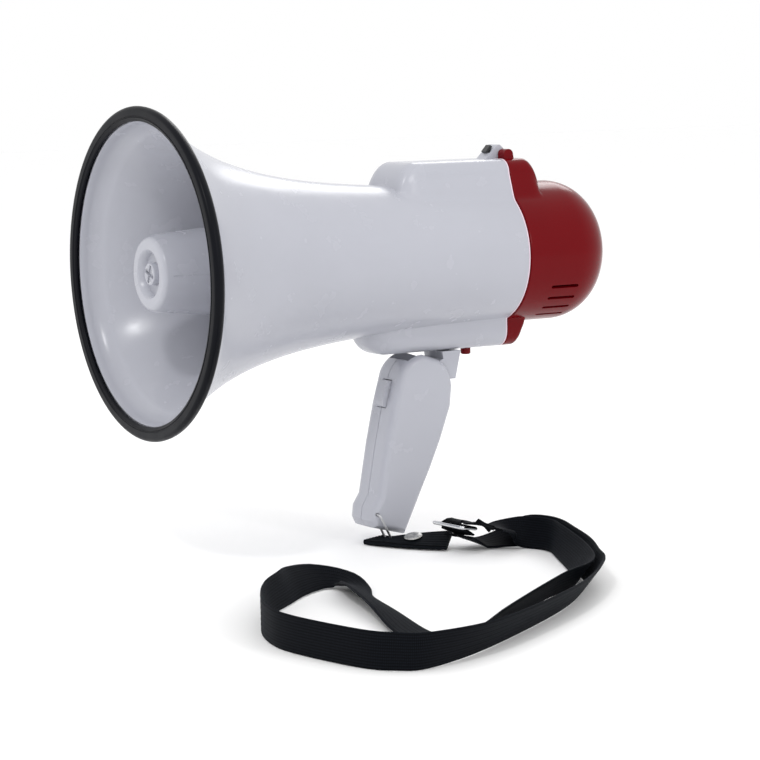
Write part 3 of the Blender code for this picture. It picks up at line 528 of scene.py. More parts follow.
def softened(obj, width, segments=3, angle=32.0):
    """Rounds the sharp edges, as a moulding or a turned part has them."""
    change = obj.modifiers.new("round", "BEVEL")
    change.width = width
    change.segments = segments
    change.limit_method = "ANGLE"
    change.angle_limit = math.radians(angle)
    change.harden_normals = True
    return obj


# ---------------------------------------------------------------- decks, as seen from the axis


def ray_length(section, angle):
    """How far from the axis a deck's half section lies in a direction, or 0 where it has nothing."""
    direction = Vector((math.sin(abs(angle)), math.cos(angle)))
    far = 0.0
    for a, b in zip(section, section[1:]):
        a, b = Vector(a), Vector(b)
        run = b - a
        cross = direction.x * run.y - direction.y * run.x
        if abs(cross) < 1e-12:
            continue
        t = (a.x * run.y - a.y * run.x) / cross
        s = (a.x * direction.y - a.y * direction.x) / cross
        if t > 0 and -1e-6 <= s <= 1 + 1e-6:
            far = max(far, t)
    return far


def upper_half(top, squeeze=1.0):
    """Half of the upper deck's section: a sloping side, a round shoulder and half the flat top."""
    radius = max(0.0010, min(0.0070, (top - 0.025) / 2))
    centre = (0.0100 * squeeze, top - radius)
    return [(UPPER_BASE_HALF * squeeze, 0.0250)] + arc(centre, radius, 0, 90, 10) + [(0.0, top)]


def lower_half(half, depth):
    """Half of the lower deck's section, with its depth counted upwards."""
    radius = max(0.0010, min(0.0085, half * 0.65, (depth - 0.0325) * 0.8))
    return [(half, 0.0290)] + arc((half - radius, depth - radius), radius, 0, 90, 10) + [(0.0, depth)]


def blended_max(a, b, width):
    """The larger of two values, with a fillet where they meet."""
    near = max(0.0, width - abs(a - b)) / width
    return max(a, b) + near * near * width / 4


def grown(y, start, length, power=0.5):
    """How far a rounded end has grown at y, from 0 to 1."""
    left = min(1.0, max(0.0, (start + length - y) / length))
    return (1 - left * left) ** power


def deck_angles():
    """Directions round the axis, closer together where the decks' sides are steep."""
    angles = set()
    for k in range(720):
        degree = k * 0.5
        upper = min(abs(degree), abs(degree - 360)) < 45
        lower = 14 < abs(degree - 180) < 27
        if k % 4 == 0 or (upper and k % 2 == 0) or lower:
            angles.add(math.radians(degree))
    return sorted(angles)


def polar_ring(bm, y, radius_at, angles):
    return [bm.verts.new((radius_at(a) * math.sin(a), y, radius_at(a) * math.cos(a))) for a in angles]


# ---------------------------------------------------------------- housing


def body_radius(y):
    """A function from direction to the horn body's outer radius at y, decks included."""
    barrel = horn_radius(y)
    upper_share = grown(y, 0.1358, 0.0112, 0.62)
    lower_share = grown(y, 0.1195, 0.0130)
    upper = upper_half(BARREL_R + (UPPER_DECK_Z - BARREL_R) * upper_share, 0.93 + 0.07 * upper_share)
    lower_depth = BARREL_R + (-LOWER_DECK_Z - BARREL_R) * lower_share
    lower = lower_half(LOWER_DECK_HALF * (0.35 + 0.65 * lower_share), lower_depth)

    def radius(a):
        r = barrel
        if y > 0.1356 and math.cos(a) > 0.6:
            r = blended_max(r, ray_length(upper, math.remainder(a, 2 * math.pi)), 0.0016)
        if y > 0.1193 and math.cos(a) < -0.85:
            r = blended_max(r, ray_length(lower, math.remainder(a - math.pi, 2 * math.pi)), 0.0012)
        return r

    return radius


def horn_body():
    """The bell and barrel as one wall, with the decks blended into it."""
    angles = deck_angles()
    bm = bmesh.new()
    rows = span(0.0090, 0.1185, 60) + span(0.1190, 0.1480, 62) + span(0.1500, SEAM_Y - 0.0006, 20)
    rings = [polar_ring(bm, y, lambda a, r=r: r, angles)
             for y, r in ((0.0030, 0.0732), (0.0030, 0.0760), (0.0066, 0.0760), (0.0075, 0.0742))]
    rings += [polar_ring(bm, y, body_radius(y), angles) for y in rows]
    edge = body_radius(SEAM_Y - 0.0006)
    for y, inset in ((SEAM_Y - 0.0003, 0.0001), (SEAM_Y - 0.0001, 0.0003), (SEAM_Y, 0.0006)):
        rings.append(polar_ring(bm, y, lambda a, i=inset: edge(a) - i, angles))
    seat_y = FLANGE_Y + 0.0032
    inner = [(y, horn_radius(y) - WALL) for y in (SEAM_Y, 0.1800, 0.1600, 0.1400, 0.1150, seat_y + 0.0024)]
    inner += [(seat_y + 0.0024, 0.0310), (seat_y, 0.0310)]
    inner += [(y, horn_radius(y) - WALL) for y in span(seat_y, 0.0130, 44)]
    inner += [(0.0100, 0.0712), (0.0060, 0.0720), (0.0034, 0.0725), (0.0028, 0.0728)]
    rings += [polar_ring(bm, y, lambda a, r=r: r, angles) for y, r in inner]
    bridge(bm, rings, loop=True)
    body = piece("horn_shell", closed(bm), "white_plastic", "housing", "horn_body", sharp=44.0)
    for side in (1, -1):
        carved(body, deck_channel(side, 0.1490 if side > 0 else 0.1360, 0.2050, 0.0358))
    carved(body, rod(LATCH_AT + Vector((0, 0, -0.004)), LATCH_AT + Vector((0, 0, 0.004)), 0.0029, 40))
    return body


def seam_highlight_ring():
    """A thin ring along the seam in a bright pinkish look: a painted highlight on the moulding's edge."""
    edge, angles = body_radius(SEAM_Y - 0.0006), deck_angles()
    bm = bmesh.new()
    rows = ((-0.0009, -0.0002), (-0.0007, 0.0001), (-0.0002, 0.0001), (0.0, -0.0005))
    rings = [polar_ring(bm, SEAM_Y + y, lambda a, r=r: edge(a) + r, angles) for y, r in rows]
    bridge(bm, rings, loop=True)
    return piece("seam_highlight_ring", closed(bm), "white_plastic", "housing", material=SEAM_HIGHLIGHT_LOOK)


def deck_channel(side, start, end, floor_r):
    """The hollow of a deck: side 1 is the upper one and -1 the lower one."""
    if side > 0:
        deck, width = upper_half(UPPER_DECK_Z), 0.0180
    else:
        deck, width = lower_half(LOWER_DECK_HALF, -LOWER_DECK_Z), 0.0106
    half = [(x - WALL, z - (WALL if z > 0.03 else 0.0)) for x, z in deck[:-1]]
    base = [(x, math.sqrt(floor_r**2 - x**2)) for x in span(-width, width, 12)]
    outline = base + [(x, z) for x, z in half[1:]] + [(-x, z) for x, z in reversed(half[1:])]
    return lofted([[(x, y, side * z) for x, z in outline] for y in (start, end)])


def hinge_ramp():
    """The ramp behind the upper deck that carries the mode switch and ends in the hinge's tongue."""
    outline = [(0.1930, 0.0455), (0.1944, UPPER_DECK_Z - 0.0003), (0.1952, UPPER_DECK_Z + 0.0002)]
    outline += [(0.2012, 0.0544), (0.2019, 0.0550), (0.2028, 0.0553), (0.2036, 0.0552)]
    outline += around(CAP_AXIS, KNUCKLE_R, 58, -90, 14)
    outline += [(SEAM_Y - 0.0005, CAP_AXIS.z - KNUCKLE_R), (SEAM_Y - 0.0005, 0.0455)]
    ramp = piece("hinge_ramp", slab(outline, -HUMP_HALF, HUMP_HALF), "white_plastic", "housing")
    carved(ramp, block((-0.0033, 0.1966, 0.0440), (0.0033, 0.2001, 0.0479)))
    carved(ramp, block((-0.0031, 0.1980, 0.0460), (0.0031, 0.1998, 0.0570)))
    return softened(ramp, 0.0005, 3)


def rim_ring():
    """The rubber ring on the bell's lip, with a fine groove round its front."""
    outer = arc((0.0020, MOUTH_R - 0.0020), 0.0020, 178, 90, 10)
    back = arc((0.0022, 0.0763), MOUTH_R - 0.0764, 86, 4, 12) + [(0.0058, 0.0763)]
    groove = [(0.0028, 0.0763), (0.0028, 0.0736), (0.0024, 0.0736)]
    inner = [(0.0020, 0.0732)] + arc((0.0014, 0.0738), 0.0010, 290, 182, 8)
    face = [(0.00005, 0.0745), (0.0004, 0.0748), (0.0004, 0.0752), (0.00005, 0.0755)]
    ring = turned(outer + back + groove + inner + face, FINE)
    return piece("rim_ring", ring, "rubber", "housing", "rim_bumper")


def bullet():
    """The reflector: a cup open to the rear, whose recessed nose holds a cross-shaped boss."""
    nose = [(0.0090, 0.0), (0.0090, 0.0100), (0.0058, 0.0110), (0.0050, 0.0120), (0.0050, 0.0150)]
    nose += arc((0.0078, 0.0152), 0.0028, 180, 100, 10)
    side = [(0.0100, 0.0187), (0.0200, 0.0196), (0.0300, 0.0205), (0.0400, 0.0214), (0.0512, 0.0221)]
    side.append((0.0520, 0.0216))
    inside = [(0.0520, 0.0204), (0.0300, 0.0186), (0.0125, 0.0171), (0.0107, 0.0150)]
    post = [(0.0107, 0.0045), (0.0197, 0.0038), (0.0197, 0.0)]
    cup = piece("bullet", turned(nose + side + inside + post, 128), "white_plastic", "housing", "reflector")
    boss = turned(rounded([(0.0056, 0.0), (0.0056, 0.0052), (0.0094, 0.0056), (0.0094, 0.0)], 0.0005), 64)
    head = piece("bullet_screw", boss, "white_plastic", "housing", "reflector_screw")
    turn = Matrix.Rotation(math.radians(20), 3, "Y")
    for low, high in (((-0.0044, -0.002, -0.0008), (0.0044, 0.0014, 0.0008)),
                      ((-0.0008, -0.002, -0.0044), (0.0008, 0.0014, 0.0044))):
        bar = block(low, high)
        bmesh.ops.rotate(bar, verts=bar.verts, cent=(0, 0, 0), matrix=turn)
        bmesh.ops.translate(bar, verts=bar.verts, vec=(0.0, 0.0056, 0.0))
        carved(head, bar)
    for name, sign in (("bullet_seam_left", -1), ("bullet_seam_right", 1)):
        path = [Vector((sign * 0.01865, 0.0094, 0.0)), Vector((sign * 0.02225, 0.0514, 0.0))]
        piece(name, swept(path, circle_section(0.00022, 8)), "white_plastic", "housing")
    return cup


def tube():
    """The tube from the driver into the bullet, with the flange that closes the bell's throat."""
    flange_r = horn_radius(FLANGE_Y + 0.0030) - WALL - GAP
    outer = [(0.0180, 0.0117)]
    outer += [(y, 0.0118 - 0.0028 * (y - 0.0180) / 0.0700) for y in span(0.0190, 0.0860, 8)]
    outer += [(0.0885, 0.0094), (0.0905, 0.0108), (0.0916, 0.0140), (FLANGE_Y, 0.0180), (FLANGE_Y, flange_r)]
    inner = [(FLANGE_Y + 0.0029, flange_r), (FLANGE_Y + 0.0029, 0.0065), (0.0180, 0.0100)]
    return piece("sound_tube", turned(outer + inner, 96), "white_plastic", "housing", "throat_tube")


def cells():
    offset = CELL_R + 0.0002
    places = [(x, z) for z in (offset, -offset) for x in (-offset, offset)]
    for n, (x, z) in enumerate(places, 1):
        near, far = 0.1460, 0.1955
        jacket = [(near, 0.0), (near, CELL_R), (far - 0.0026, CELL_R), (far - 0.0018, CELL_R - 0.0010),
                  (far - 0.0018, 0.0037), (far, 0.0035), (far, 0.0)]
        shape = turned(rounded(jacket, 0.0006), ROUND, (x, 0.0, z))
        piece(f"cell_{n}", shape, "cell_jacket", "housing", f"battery_cell_{n}")


def cell_contacts():
    """The cap's contact board, with four raised springy plates."""
    shape = turned(rounded([(0.1966, 0.0), (0.1966, 0.0310), (0.1982, 0.0310), (0.1982, 0.0)], 0.0003), 96)
    piece("contact_board", shape, "board", "cap", "cap_contact_board")
    offset = CELL_R + 0.0002
    plates = []
    for x in (-offset, offset):
        for z in (-offset, offset):
            plate = [(0.1961, 0.0), (0.1961, 0.0030), (0.1963, 0.0062), (0.19655, 0.0066), (0.19655, 0.0)]
            plates.append(turned(plate, 32, (x, 0.0, z)))
    piece("contact_plates", joined(*plates), "chrome", "cap")


# ---------------------------------------------------------------- rear cap


def cap_line(inset, steps):
    """The cap's side and its large round edge, moved inward by inset."""
    end_r, bend_y = 0.0130, 0.2320
    rise, run = CAP_R - inset - end_r, CAP_END_Y - inset - bend_y
    turn = [math.pi / 2 * k / steps for k in range(steps + 1)]
    return [(bend_y + run * math.sin(a), end_r + rise * math.cos(a)) for a in turn]


def cap_radius(y, plain):
    """A function from direction to the cap's outer radius at y, where the plain cap's is plain."""
    upper_left = min(1.0, max(0.0, (y - 0.2120) / 0.0068))
    lower_left = min(1.0, max(0.0, (y - 0.2068) / 0.0050))
    upper = upper_half(UPPER_DECK_Z - 0.0128 * (1 - math.sqrt(1 - upper_left**2)))
    lower = lower_half(LOWER_DECK_HALF, -LOWER_DECK_Z - 0.0128 * (1 - math.sqrt(1 - lower_left**2)))

    def radius(a):
        r = plain
        if y < 0.2190 and math.cos(a) > 0.6:
            r = blended_max(r, ray_length(upper, math.remainder(a, 2 * math.pi)), 0.0014)
        if y < 0.2120 and math.cos(a) < -0.85:
            r = blended_max(r, ray_length(lower, math.remainder(a - math.pi, 2 * math.pi)), 0.0012)
        return r

    return radius


def rear_cap():
    angles = deck_angles()
    bm = bmesh.new()
    start = SEAM_Y + GAP
    rings = [polar_ring(bm, start, lambda a: cap_radius(start, CAP_R)(a) - 0.0005, angles)]
    rings.append(polar_ring(bm, start + 0.0002, lambda a: cap_radius(start, CAP_R)(a) - 0.0001, angles))
    for y in span(start + 0.0005, 0.2195, 48) + span(0.2210, 0.2310, 6):
        rings.append(polar_ring(bm, y, cap_radius(y, CAP_R), angles))
    for y, r in cap_line(0.0, 36):
        rings.append(polar_ring(bm, y, lambda a, r=r: r, angles))
    rings += [polar_ring(bm, CAP_END_Y, lambda a, r=r: r, angles) for r in (0.0110, 0.0060)]
    rings.append([bm.verts.new((0.0, CAP_END_Y, 0.0))])
    rings.append([bm.verts.new((0.0, CAP_END_Y - WALL, 0.0))])
    for y, r in reversed(cap_line(WALL, 12)):
        rings.append(polar_ring(bm, y, lambda a, r=r: r, angles))
    rings.append(polar_ring(bm, start, lambda a: CAP_R - WALL, angles))
    bridge(bm, rings, loop=True)
    cap = piece("cap_shell", closed(bm), "red_plastic", "cap", "rear_cap", sharp=44.0)
    clear_r = KNUCKLE_R + 2 * GAP
    slot = [(0.1990, CAP_AXIS.z - clear_r)] + around(CAP_AXIS, clear_r, -90, 90, 16) + [(0.1990, 0.0600)]
    carved(cap, slab(slot, -HUMP_HALF - GAP, HUMP_HALF + GAP))
    carved(cap, deck_channel(1, 0.1990, 0.2140, 0.0354))
    carved(cap, deck_channel(-1, 0.1990, 0.2085, 0.0354))
    carved(cap, vents())
    end, z = CAP_END_Y, joint_at("volume_turn").z - HORN.z
    carved(cap, rod((0, end - 0.0085, z), (0, end - 0.0016, z), 0.0100, ROUND), "UNION")
    carved(cap, rod((0, end - 0.0062, z), (0, end + 0.0010, z), 0.0080, ROUND))
    grille = [block((-w, end - 0.005, h - 0.0007), (w, end + 0.002, h + 0.0007))
              for h, w in ((0.0043, 0.0060), (0.0071, 0.0070), (0.0099, 0.0060), (0.0127, 0.0040))]
    carved(cap, joined(*grille))
    for side in (-1, 1):
        x0, x1 = sorted((side * (HUMP_HALF + GAP), side * KNUCKLE_END_X))
        outline = [(CAP_AXIS.y - 0.0024, 0.0470)] + around(CAP_AXIS, KNUCKLE_R, 180, 0, 20)
        outline += [(CAP_AXIS.y + 0.0034, 0.0470)]
        name = "cap_knuckle_left" if side < 0 else "cap_knuckle_right"
        softened(piece(name, slab(outline, x0, x1), "red_plastic", "cap"), 0.0006, 4)
    return cap


def vents():
    """Four slots with round ends, low on each side of the cap."""
    slots = []
    for side in (-1, 1):
        for k in range(4):
            ends = arc((0.0, 0.2169), 0.0009, 180, 360, 8) + arc((0.0, 0.2316), 0.0009, 0, 180, 8)
            low, high = sorted((side * 0.0300, side * 0.0400))
            slot = lofted([[(x, y, z) for z, y in ends] for x in (low, high)])
            turn = Matrix.Rotation(side * math.radians(28 + 11.5 * k), 3, "Y")
            bmesh.ops.rotate(slot, verts=slot.verts, cent=(0, 0, 0), matrix=turn)
            slots.append(slot)
    return joined(*slots)


def volume_knob():
    """A dial with a fluted rim and a pointer groove."""
    end, z = CAP_END_Y, joint_at("volume_turn").z - HORN.z
    bm = bmesh.new()
    count = 144

    def flute(a, r):
        return r - 0.00025 * (1 - math.cos(24 * a)) / 2

    rows = [(end - 0.0100, 0.0030, False), (end - 0.0059, 0.0030, False), (end - 0.0058, 0.0074, True),
            (end - 0.0004, 0.0074, True), (end + 0.0004, 0.0071, True), (end + 0.0010, 0.0065, False),
            (end + 0.0011, 0.0058, False), (end + 0.0009, 0.0050, False)]
    rings = [[bm.verts.new((0.0, end - 0.0100, 0.0))]]
    for y, r, fluted in rows:
        ring = []
        for k in range(count):
            a = 2 * math.pi * k / count
            radius = flute(a, r) if fluted else r
            ring.append(bm.verts.new((radius * math.sin(a), y, radius * math.cos(a))))
        rings.append(ring)
    rings.append([bm.verts.new((0.0, end + 0.0009, 0.0))])
    bridge(bm, rings, loop=False)
    bmesh.ops.translate(bm, verts=bm.verts, vec=(0.0, 0.0, z))
    dial = piece("volume_dial", closed(bm), "black_plastic", "knob", "volume_knob")
    carved(dial, block((-0.0005, end + 0.0004, z + 0.0020), (0.0005, end + 0.0030, z + 0.0068)))


# ---------------------------------------------------------------- handle


def grip_outline():
    """The grip's side view: a head round the fold axis, a tapering shank, and a small heel."""
    front = [(0.1214, -0.1336), (0.1196, -0.1298), (0.1204, -0.1236), (0.1240, -0.1180), (0.1287, -0.0929),
             (0.1333, -0.0727)]
    head = around(FOLD_AXIS, 0.0153, 165, 92, 16) + arc((0.1550, -0.0634), 0.0136, 68, 14, 8)
    rear = [(0.1690, -0.0650), (0.1679, -0.0756), (0.1615, -0.0925), (0.1552, -0.1064), (0.1490, -0.1186),
            (0.1393, -0.1384)]
    return front + head + rear


def drawn_in(outline, distance):
    """An outline moved inward by a distance, corner by corner."""
    moved = []
    count = len(outline)
    for i in range(count):
        p, a, b = Vector(outline[i]), Vector(outline[i - 1]), Vector(outline[(i + 1) % count])
        first, second = (p - a).normalized(), (b - p).normalized()
        inward = Vector((first.y + second.y, -first.x - second.x)).normalized()
        lift = max(0.55, inward.dot(Vector((first.y, -first.x))))
        moved.append(tuple(p + inward * distance / lift))
    return moved


def grip_hollow():
    """The room inside the grip, which opens at the top and rear where the neck stands."""
    front = [(0.1232, -0.1308), (0.1226, -0.1246), (0.1262, -0.1180), (0.1308, -0.0922), (0.1350, -0.0731)]
    front += around(FOLD_AXIS, 0.0132, 165, 126, 3)
    opening = [(FOLD_AXIS.y - 0.0088, FOLD_AXIS.z + 0.0126), (FOLD_AXIS.y - 0.0093, -0.0430)]
    opening += [(0.1775, -0.0430), (0.1775, -0.0628), (0.1670, -0.0628)]
    rear = [(0.1656, -0.0749), (0.1594, -0.0916), (0.1532, -0.1055), (0.1471, -0.1174), (0.1381, -0.1354)]
    return front + opening + rear


def link_path(steps=4):
    """The wire link through the grip's lower front corner: outside, under the foot and back inside."""
    hole = Vector((0.0, 0.1226, -0.1270))
    down = Vector((0.0, 0.46, -0.89)).normalized()
    inner, outer, length, r = 0.0078, 0.0142, 0.0153, 0.0018
    points = []
    for cx, cy, start in ((outer - r, r, -90), (outer - r, length - r, 0), (inner + r, length - r, 90),
                          (inner + r, r, 180)):
        for x, d in arc((cx, cy), r, start, start + 90, steps):
            points.append(hole + Vector((x, 0.0, 0.0)) + down * (d - 0.0005))
    return points


def across(path):
    normal = Vector((0.0, 0.89, 0.46)).normalized()
    return [normal for _ in path]


GRIP_SCREWS = ((0.1505, -0.0850), (0.1422, -0.1065), (0.1325, -0.1265))


def grip_half(name, side, stands_for):
    """One half of the grip, with a large soft radius on its outer edge."""
    smooth = rounded(grip_outline(), 0.0024, 4)
    steps = [(0.00012, 0.0002), (0.0004, 0.0), (0.0070, 0.0)]
    for k in range(1, 9):
        a = math.pi / 2 * k / 8
        steps.append((0.0070 + (GRIP_HALF - 0.0070) * math.sin(a), 0.0036 * (1 - math.cos(a))))
    shape = lofted([[(side * x, y, z) for y, z in drawn_in(smooth, d)] for x, d in steps])
    shell = piece(name, shape, "white_plastic", "grip", stands_for, sharp=30.0)
    carved(shell, slab(grip_hollow(), *sorted((side * 0.0093, -side * 0.001))))
    carved(shell, block((-0.0045, -0.0060, -0.0073), (0.0045, 0.0050, 0.0073), -TRIGGER_LEAN, TRIGGER_AT))
    if side > 0:
        carved(shell, swept(link_path(), circle_section(0.0009, 10), cyclic=True, ups=across(link_path())))
    else:
        for y, z in GRIP_SCREWS:
            carved(shell, rod((-0.0105, y, z), (-0.0140, y, z), 0.0027))
    return shell


def grip_screw_heads():
    """Pan heads with a cross, sunk in the left half."""
    for n, (y, z) in enumerate(GRIP_SCREWS, 1):
        dome = [(0.0083, 0.0), (0.0083, 0.0024), (0.0100, 0.0024), (0.0106, 0.0020), (0.0111, 0.0010),
                (0.0112, 0.0)]
        bm = turned(dome, 32)
        bmesh.ops.rotate(bm, verts=bm.verts, cent=(0, 0, 0), matrix=Matrix.Rotation(math.pi / 2, 3, "Z"))
        bmesh.ops.translate(bm, verts=bm.verts, vec=(0.0, y, z))
        head = piece(f"grip_screw_head_{n}", bm, "steel", "grip", f"grip_screw_{n}")
        carved(head, block((-0.0130, y - 0.0014, z - 0.00025), (-0.0104, y + 0.0014, z + 0.00025)))
        carved(head, block((-0.0130, y - 0.00025, z - 0.0014), (-0.0104, y + 0.00025, z + 0.0014)))


def trigger_button():
    """The push button in the grip's front, slightly crowned."""
    face = [(-0.0016, 0.0062), (-0.0024, 0.0046), (-0.0028, 0.0020), (-0.0028, -0.0020), (-0.0024, -0.0046),
            (-0.0016, -0.0062), (-0.0002, -0.0070), (0.0030, -0.0070), (0.0030, 0.0070), (-0.0002, 0.0070)]
    bm = slab(rounded(face, 0.0008), -0.0042, 0.0042)
    bmesh.ops.rotate(bm, verts=bm.verts, cent=(0, 0, 0), matrix=Matrix.Rotation(-TRIGGER_LEAN, 3, "X"))
    bmesh.ops.translate(bm, verts=bm.verts, vec=TRIGGER_AT)
    return softened(piece("trigger_button", bm, "white_plastic", "trigger", "trigger"), 0.0007, 4)


# ---------------------------------------------------------------- strap

# The webbing's centreline: x, y, height of its middle above the surface it lies on, and its lean from
# upright in degrees. These are the CAD's own points.
STRAP_ROUTE = (
    (0.0530, 0.1440, 0.0082, -87), (0.0500, 0.1500, 0.0066, -85), (0.0482, 0.1600, 0.0025, -82),
    (0.0520, 0.1720, 0.0045, -62), (0.0590, 0.1800, 0.0078, -24), (0.0690, 0.1855, 0.0082, -8),
    (0.0820, 0.1848, 0.0081, -10), (0.1000, 0.1782, 0.0080, -16), (0.1235, 0.1693, 0.0076, -26),
    (0.1430, 0.1590, 0.0071, -35), (0.1673, 0.1446, 0.0071, -37), (0.2060, 0.1040, 0.0071, -37),
    (0.2500, 0.0360, 0.0074, -30), (0.2650, -0.0040, 0.0081, -12), (0.2590, -0.0175, 0.0082, -4),
    (0.2450, -0.0260, 0.0082, 0), (0.2060, -0.0345, 0.0082, 0), (0.1820, -0.0325, 0.0082, 0),
    (0.1580, -0.0225, 0.0082, 0), (0.1360, -0.0080, 0.0082, -8), (0.1170, 0.0105, 0.0079, -20),
    (0.1010, 0.0260, 0.0070, -38), (0.0910, 0.0425, 0.0057, -52), (0.0945, 0.0530, 0.0038, -72),
    (0.1060, 0.0530, 0.0024, -98), (0.1280, 0.0430, 0.0048, -118), (0.1620, 0.0345, 0.0042, -113),
    (0.2030, 0.0240, 0.0018, -95), (0.2230, 0.0235, 0.0018, -93), (0.2305, 0.0340, 0.0030, -106),
    (0.2240, 0.0510, 0.0059, -131), (0.1830, 0.1110, 0.0071, -143), (0.1640, 0.1405, 0.0071, -143),
    (0.1368, 0.1579, 0.0073, -146), (0.0980, 0.1742, 0.0080, -164), (0.0780, 0.1812, 0.0082, -171),
    (0.0640, 0.1780, 0.0080, -165), (0.0590, 0.1690, 0.0095, -122), (0.0650, 0.1600, 0.0118, -96),
    (0.0660, 0.1560, 0.0126, -92),
)
TAB_ROUTE = (
    (0.0050, 0.1240, 0.0018, -88), (0.0110, 0.1258, 0.0018, -88), (0.0180, 0.1285, 0.0026, -84),
    (0.0280, 0.1335, 0.0036, -76), (0.0370, 0.1395, 0.0043, -70), (0.0430, 0.1450, 0.0046, -67),
)
RIVET_AT = Vector((0.0280, 0.1335, STRAP_FLOOR_Z + 0.0036))
BUCKLE_AT = Vector((0.0500, 0.1440, STRAP_FLOOR_Z + 0.0130))


def smooth_points(points, step):
    """Catmull-Rom points about a step apart through the given ones, each a tuple of four numbers."""
    out = []
    for i in range(len(points) - 1):
        p = [points[max(i - 1, 0)], points[i], points[i + 1], points[min(i + 2, len(points) - 1)]]
        count = max(1, round(math.dist(p[1][:3], p[2][:3]) / step))
        for n in range(count):
            t = n / count
            out.append(tuple(
                0.5 * (2 * b + (c - a) * t + (2 * a - 5 * b + 4 * c - d) * t**2
                       + (3 * b - a - 3 * c + d) * t**3)
                for a, b, c, d in zip(*p)
            ))
    return out + [points[-1]]


def web_section(width, thick, ridges):
    """A webbing's cross-section: thin selvedges and raised wales on both faces. (side, up) points."""
    half_w, half_t = width / 2, thick / 2
    steps = ridges * 4
    face = []
    for k in range(1, steps):
        u = -half_w + width * k / steps
        edge = min(1.0, (half_w - abs(u)) / 0.0011)
        swell = 0.62 + 0.30 * math.sqrt(edge) + 0.08 * math.sin(math.pi * 2 * ridges * (k / steps))
        face.append((half_t * swell, u))
    left = [(0.0, -half_w)] + face + [(0.0, half_w)]
    right = [(-t, u) for t, u in reversed(face)]
    return left + right


def ribbon(name, route, width, thick, step, ridges, stands_for):
    """A woven strip along a route, with its length and width laid out in a UV map."""
    fine = smooth_points(route, step)
    path = [Vector((x, y, STRAP_FLOOR_Z + h)) for x, y, h, _ in fine]
    ups, lengths = [], [0.0]
    for i, (_, _, _, lean) in enumerate(fine):
        along = (path[min(i + 1, len(path) - 1)] - path[max(i - 1, 0)]).normalized()
        ups.append(Matrix.Rotation(math.radians(lean), 3, along) @ Vector((0.0, 0.0, 1.0)))
        if i:
            lengths.append(lengths[-1] + (path[i] - path[i - 1]).length)
    section = web_section(width, thick, ridges)
    bm = swept(path, section, ups=ups)
    strip = piece(name, bm, "webbing", "grip", stands_for, sharp=60.0)
    uv = strip.data.uv_layers.new(name="UVMap")
    size = len(section)
    for loop in strip.data.loops:
        row, place = divmod(loop.vertex_index, size)
        uv.data[loop.index].uv = (lengths[row], section[place][1])
    return strip, [p + HORN for p in path]


def buckle_frame():
    turn = Matrix.Rotation(math.radians(-10), 3, "X") @ Matrix.Rotation(math.radians(15), 3, "Z")
    return Matrix.Translation(BUCKLE_AT) @ turn.to_4x4()


def buckle():
    """A slide buckle of round wire: a rounded rectangle with a bar down its middle."""
    place = buckle_frame()
    x, y, r = 0.0096, 0.0056, 0.0014
    loop = []
    corners = ((x - r, y - r), (-x + r, y - r), (-x + r, -y + r), (x - r, -y + r))
    for corner, start in zip(corners, (0, 90, 180, 270)):
        loop += [Vector((px, py, 0.0)) for px, py in arc(corner, r, start, start + 90, 6)]
    ups = [Vector((0.0, 0.0, 1.0)) for _ in loop]
    wire = swept(loop, circle_section(0.00085, 16), cyclic=True, ups=ups)
    bar = rod((-x, 0.0, 0.0), (x, 0.0, 0.0), 0.0008, 16)
    bm = joined(wire, bar)
    bmesh.ops.transform(bm, verts=bm.verts, matrix=place)
    return piece("slide_buckle", bm, "chrome", "grip", "strap_buckle", sharp=50.0)


# The webbing's turn over the buckle's far bar, round its middle one and back under, in the same form as
# STRAP_ROUTE. It has no lean of its own.
FOLD_ROUTE = (
    (0.0662, 0.1566, 0.0126, 0), (0.0640, 0.1540, 0.0134, 0), (0.0600, 0.1520, 0.0140, 0),
    (0.0550, 0.1502, 0.0143, 0), (0.0515, 0.1480, 0.0146, 0), (0.0500, 0.1450, 0.0148, 0),
    (0.0498, 0.1428, 0.0140, 0), (0.0500, 0.1424, 0.0128, 0), (0.0505, 0.1438, 0.0116, 0),
    (0.0510, 0.1465, 0.0100, 0), (0.0508, 0.1490, 0.0082, 0),
)


def strap_fold():
    """The webbing's turn through the buckle, which joins the strap's two ends."""
    path = [Vector((x, y, STRAP_FLOOR_Z + h)) for x, y, h, _ in smooth_points(FOLD_ROUTE, 0.0012)]
    across_buckle = Vector((0.966, 0.259, 0.0))
    bm = swept(path, web_section(0.0150, 0.0011, 7), ups=[across_buckle for _ in path])
    return piece("strap_fold", bm, "webbing", "grip", sharp=60.0)


def rivet():
    """A tubular rivet with a domed, hammered head on each face of the tab."""
    along = Vector((0.0095, 0.0055, 0.0)).normalized()
    face = Matrix.Rotation(math.radians(-76), 3, along) @ Vector((0.0, 0.0, 1.0))
    out = along.cross(face).normalized()
    dome = [(-0.0027, 0.0), (-0.0027, 0.0024), (-0.0024, 0.0029), (-0.0020, 0.0028), (-0.0019, 0.0015),
            (0.0019, 0.0015), (0.0020, 0.0044), (0.0023, 0.0046), (0.0028, 0.0041), (0.0031, 0.0031),
            (0.00325, 0.0022), (0.0029, 0.0014), (0.0028, 0.0)]
    bm = turned(dome, 48)
    turn = out.to_track_quat("Y", "Z").to_matrix().to_4x4()
    bmesh.ops.transform(bm, verts=bm.verts, matrix=Matrix.Translation(RIVET_AT) @ turn)
    return piece("tab_rivet", bm, "chrome", "grip", "strap_rivet", sharp=40.0, material=RIVET_LOOK)


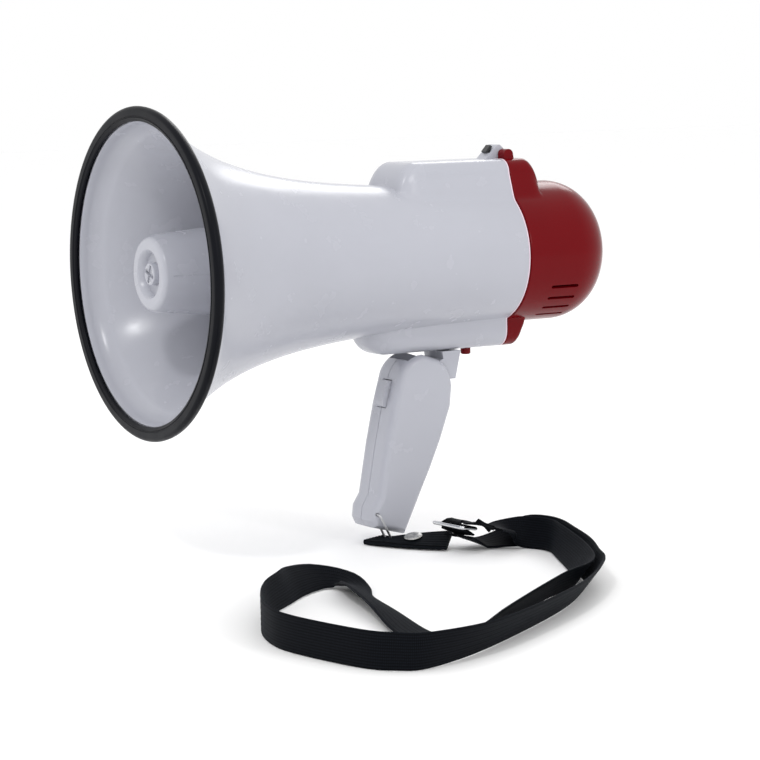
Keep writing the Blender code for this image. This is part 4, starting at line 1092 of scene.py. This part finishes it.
def strap():
    """The wrist strap, with the tab, rivet, buckle, fold and wire link on it."""
    webbing_piece, path = ribbon(
        "strap_ribbon", STRAP_ROUTE, WEB_WIDTH, WEB_THICK, 0.0025, 7, "strap_webbing")
    tab, _ = ribbon("tab_ribbon", TAB_ROUTE, WEB_WIDTH - 0.0004, 0.0026, 0.0015, 7, "strap_tab")
    link = link_path(8)
    ring = swept(link, circle_section(0.0006, 12), cyclic=True, ups=across(link))
    wire = piece("link_wire", ring, "steel", "grip", "strap_link")
    parts = [tab, rivet(), buckle(), strap_fold(), wire]


# ---------------------------------------------------------------- CAD nodes that stay


def keep(name, kind, width=0.0):
    """Gives a CAD node its finished material, and rounds its edges if a width is given."""
    obj = frame["nodes"][name]
    obj.data.materials.clear()
    obj.data.materials.append(MATERIALS[kind])
    if width:
        softened(obj, width, 2)


def kept_nodes():
    keep("handle_neck", "white_plastic", 0.0006)
    keep("latch_button", "red_plastic", 0.0003)
    keep("mode_slider", "black_plastic", 0.0003)
    keep("mode_switch_body", "black_plastic", 0.0002)
    keep("cap_hinge_pin", "steel", 0.0002)
    keep("fold_pin", "steel", 0.0003)
    for name in ("neck_screw_1", "neck_screw_2", "latch_spring", "driver_top_plate", "driver_yoke",
                 "microphone", "volume_control"):
        keep(name, "steel")
    for n in range(1, 5):
        keep(f"cell_spring_{n}", "steel")
    for name in ("driver_frame", "battery_bulkhead", "trigger_switch", "filter_capacitor", "amplifier_chip"):
        keep(name, "black_plastic", 0.0002)
    keep("amplifier_board", "board", 0.0002)
    keep("output_transformer", "ferrite", 0.0003)
    keep("driver_magnet", "ferrite", 0.0004)
    keep("diaphragm", "film")
    keep("voice_coil", "copper")
    keep("microphone_foam", "foam", 0.0004)


camera()
studio()
strap()
horn_body()
seam_highlight_ring()
hinge_ramp()
rim_ring()
bullet()
tube()
cells()
cell_contacts()
rear_cap()
volume_knob()
grip_half("grip_right", 1, "grip_shell_right")
grip_half("grip_left", -1, "grip_shell_left")
grip_screw_heads()
trigger_button()
kept_nodes()
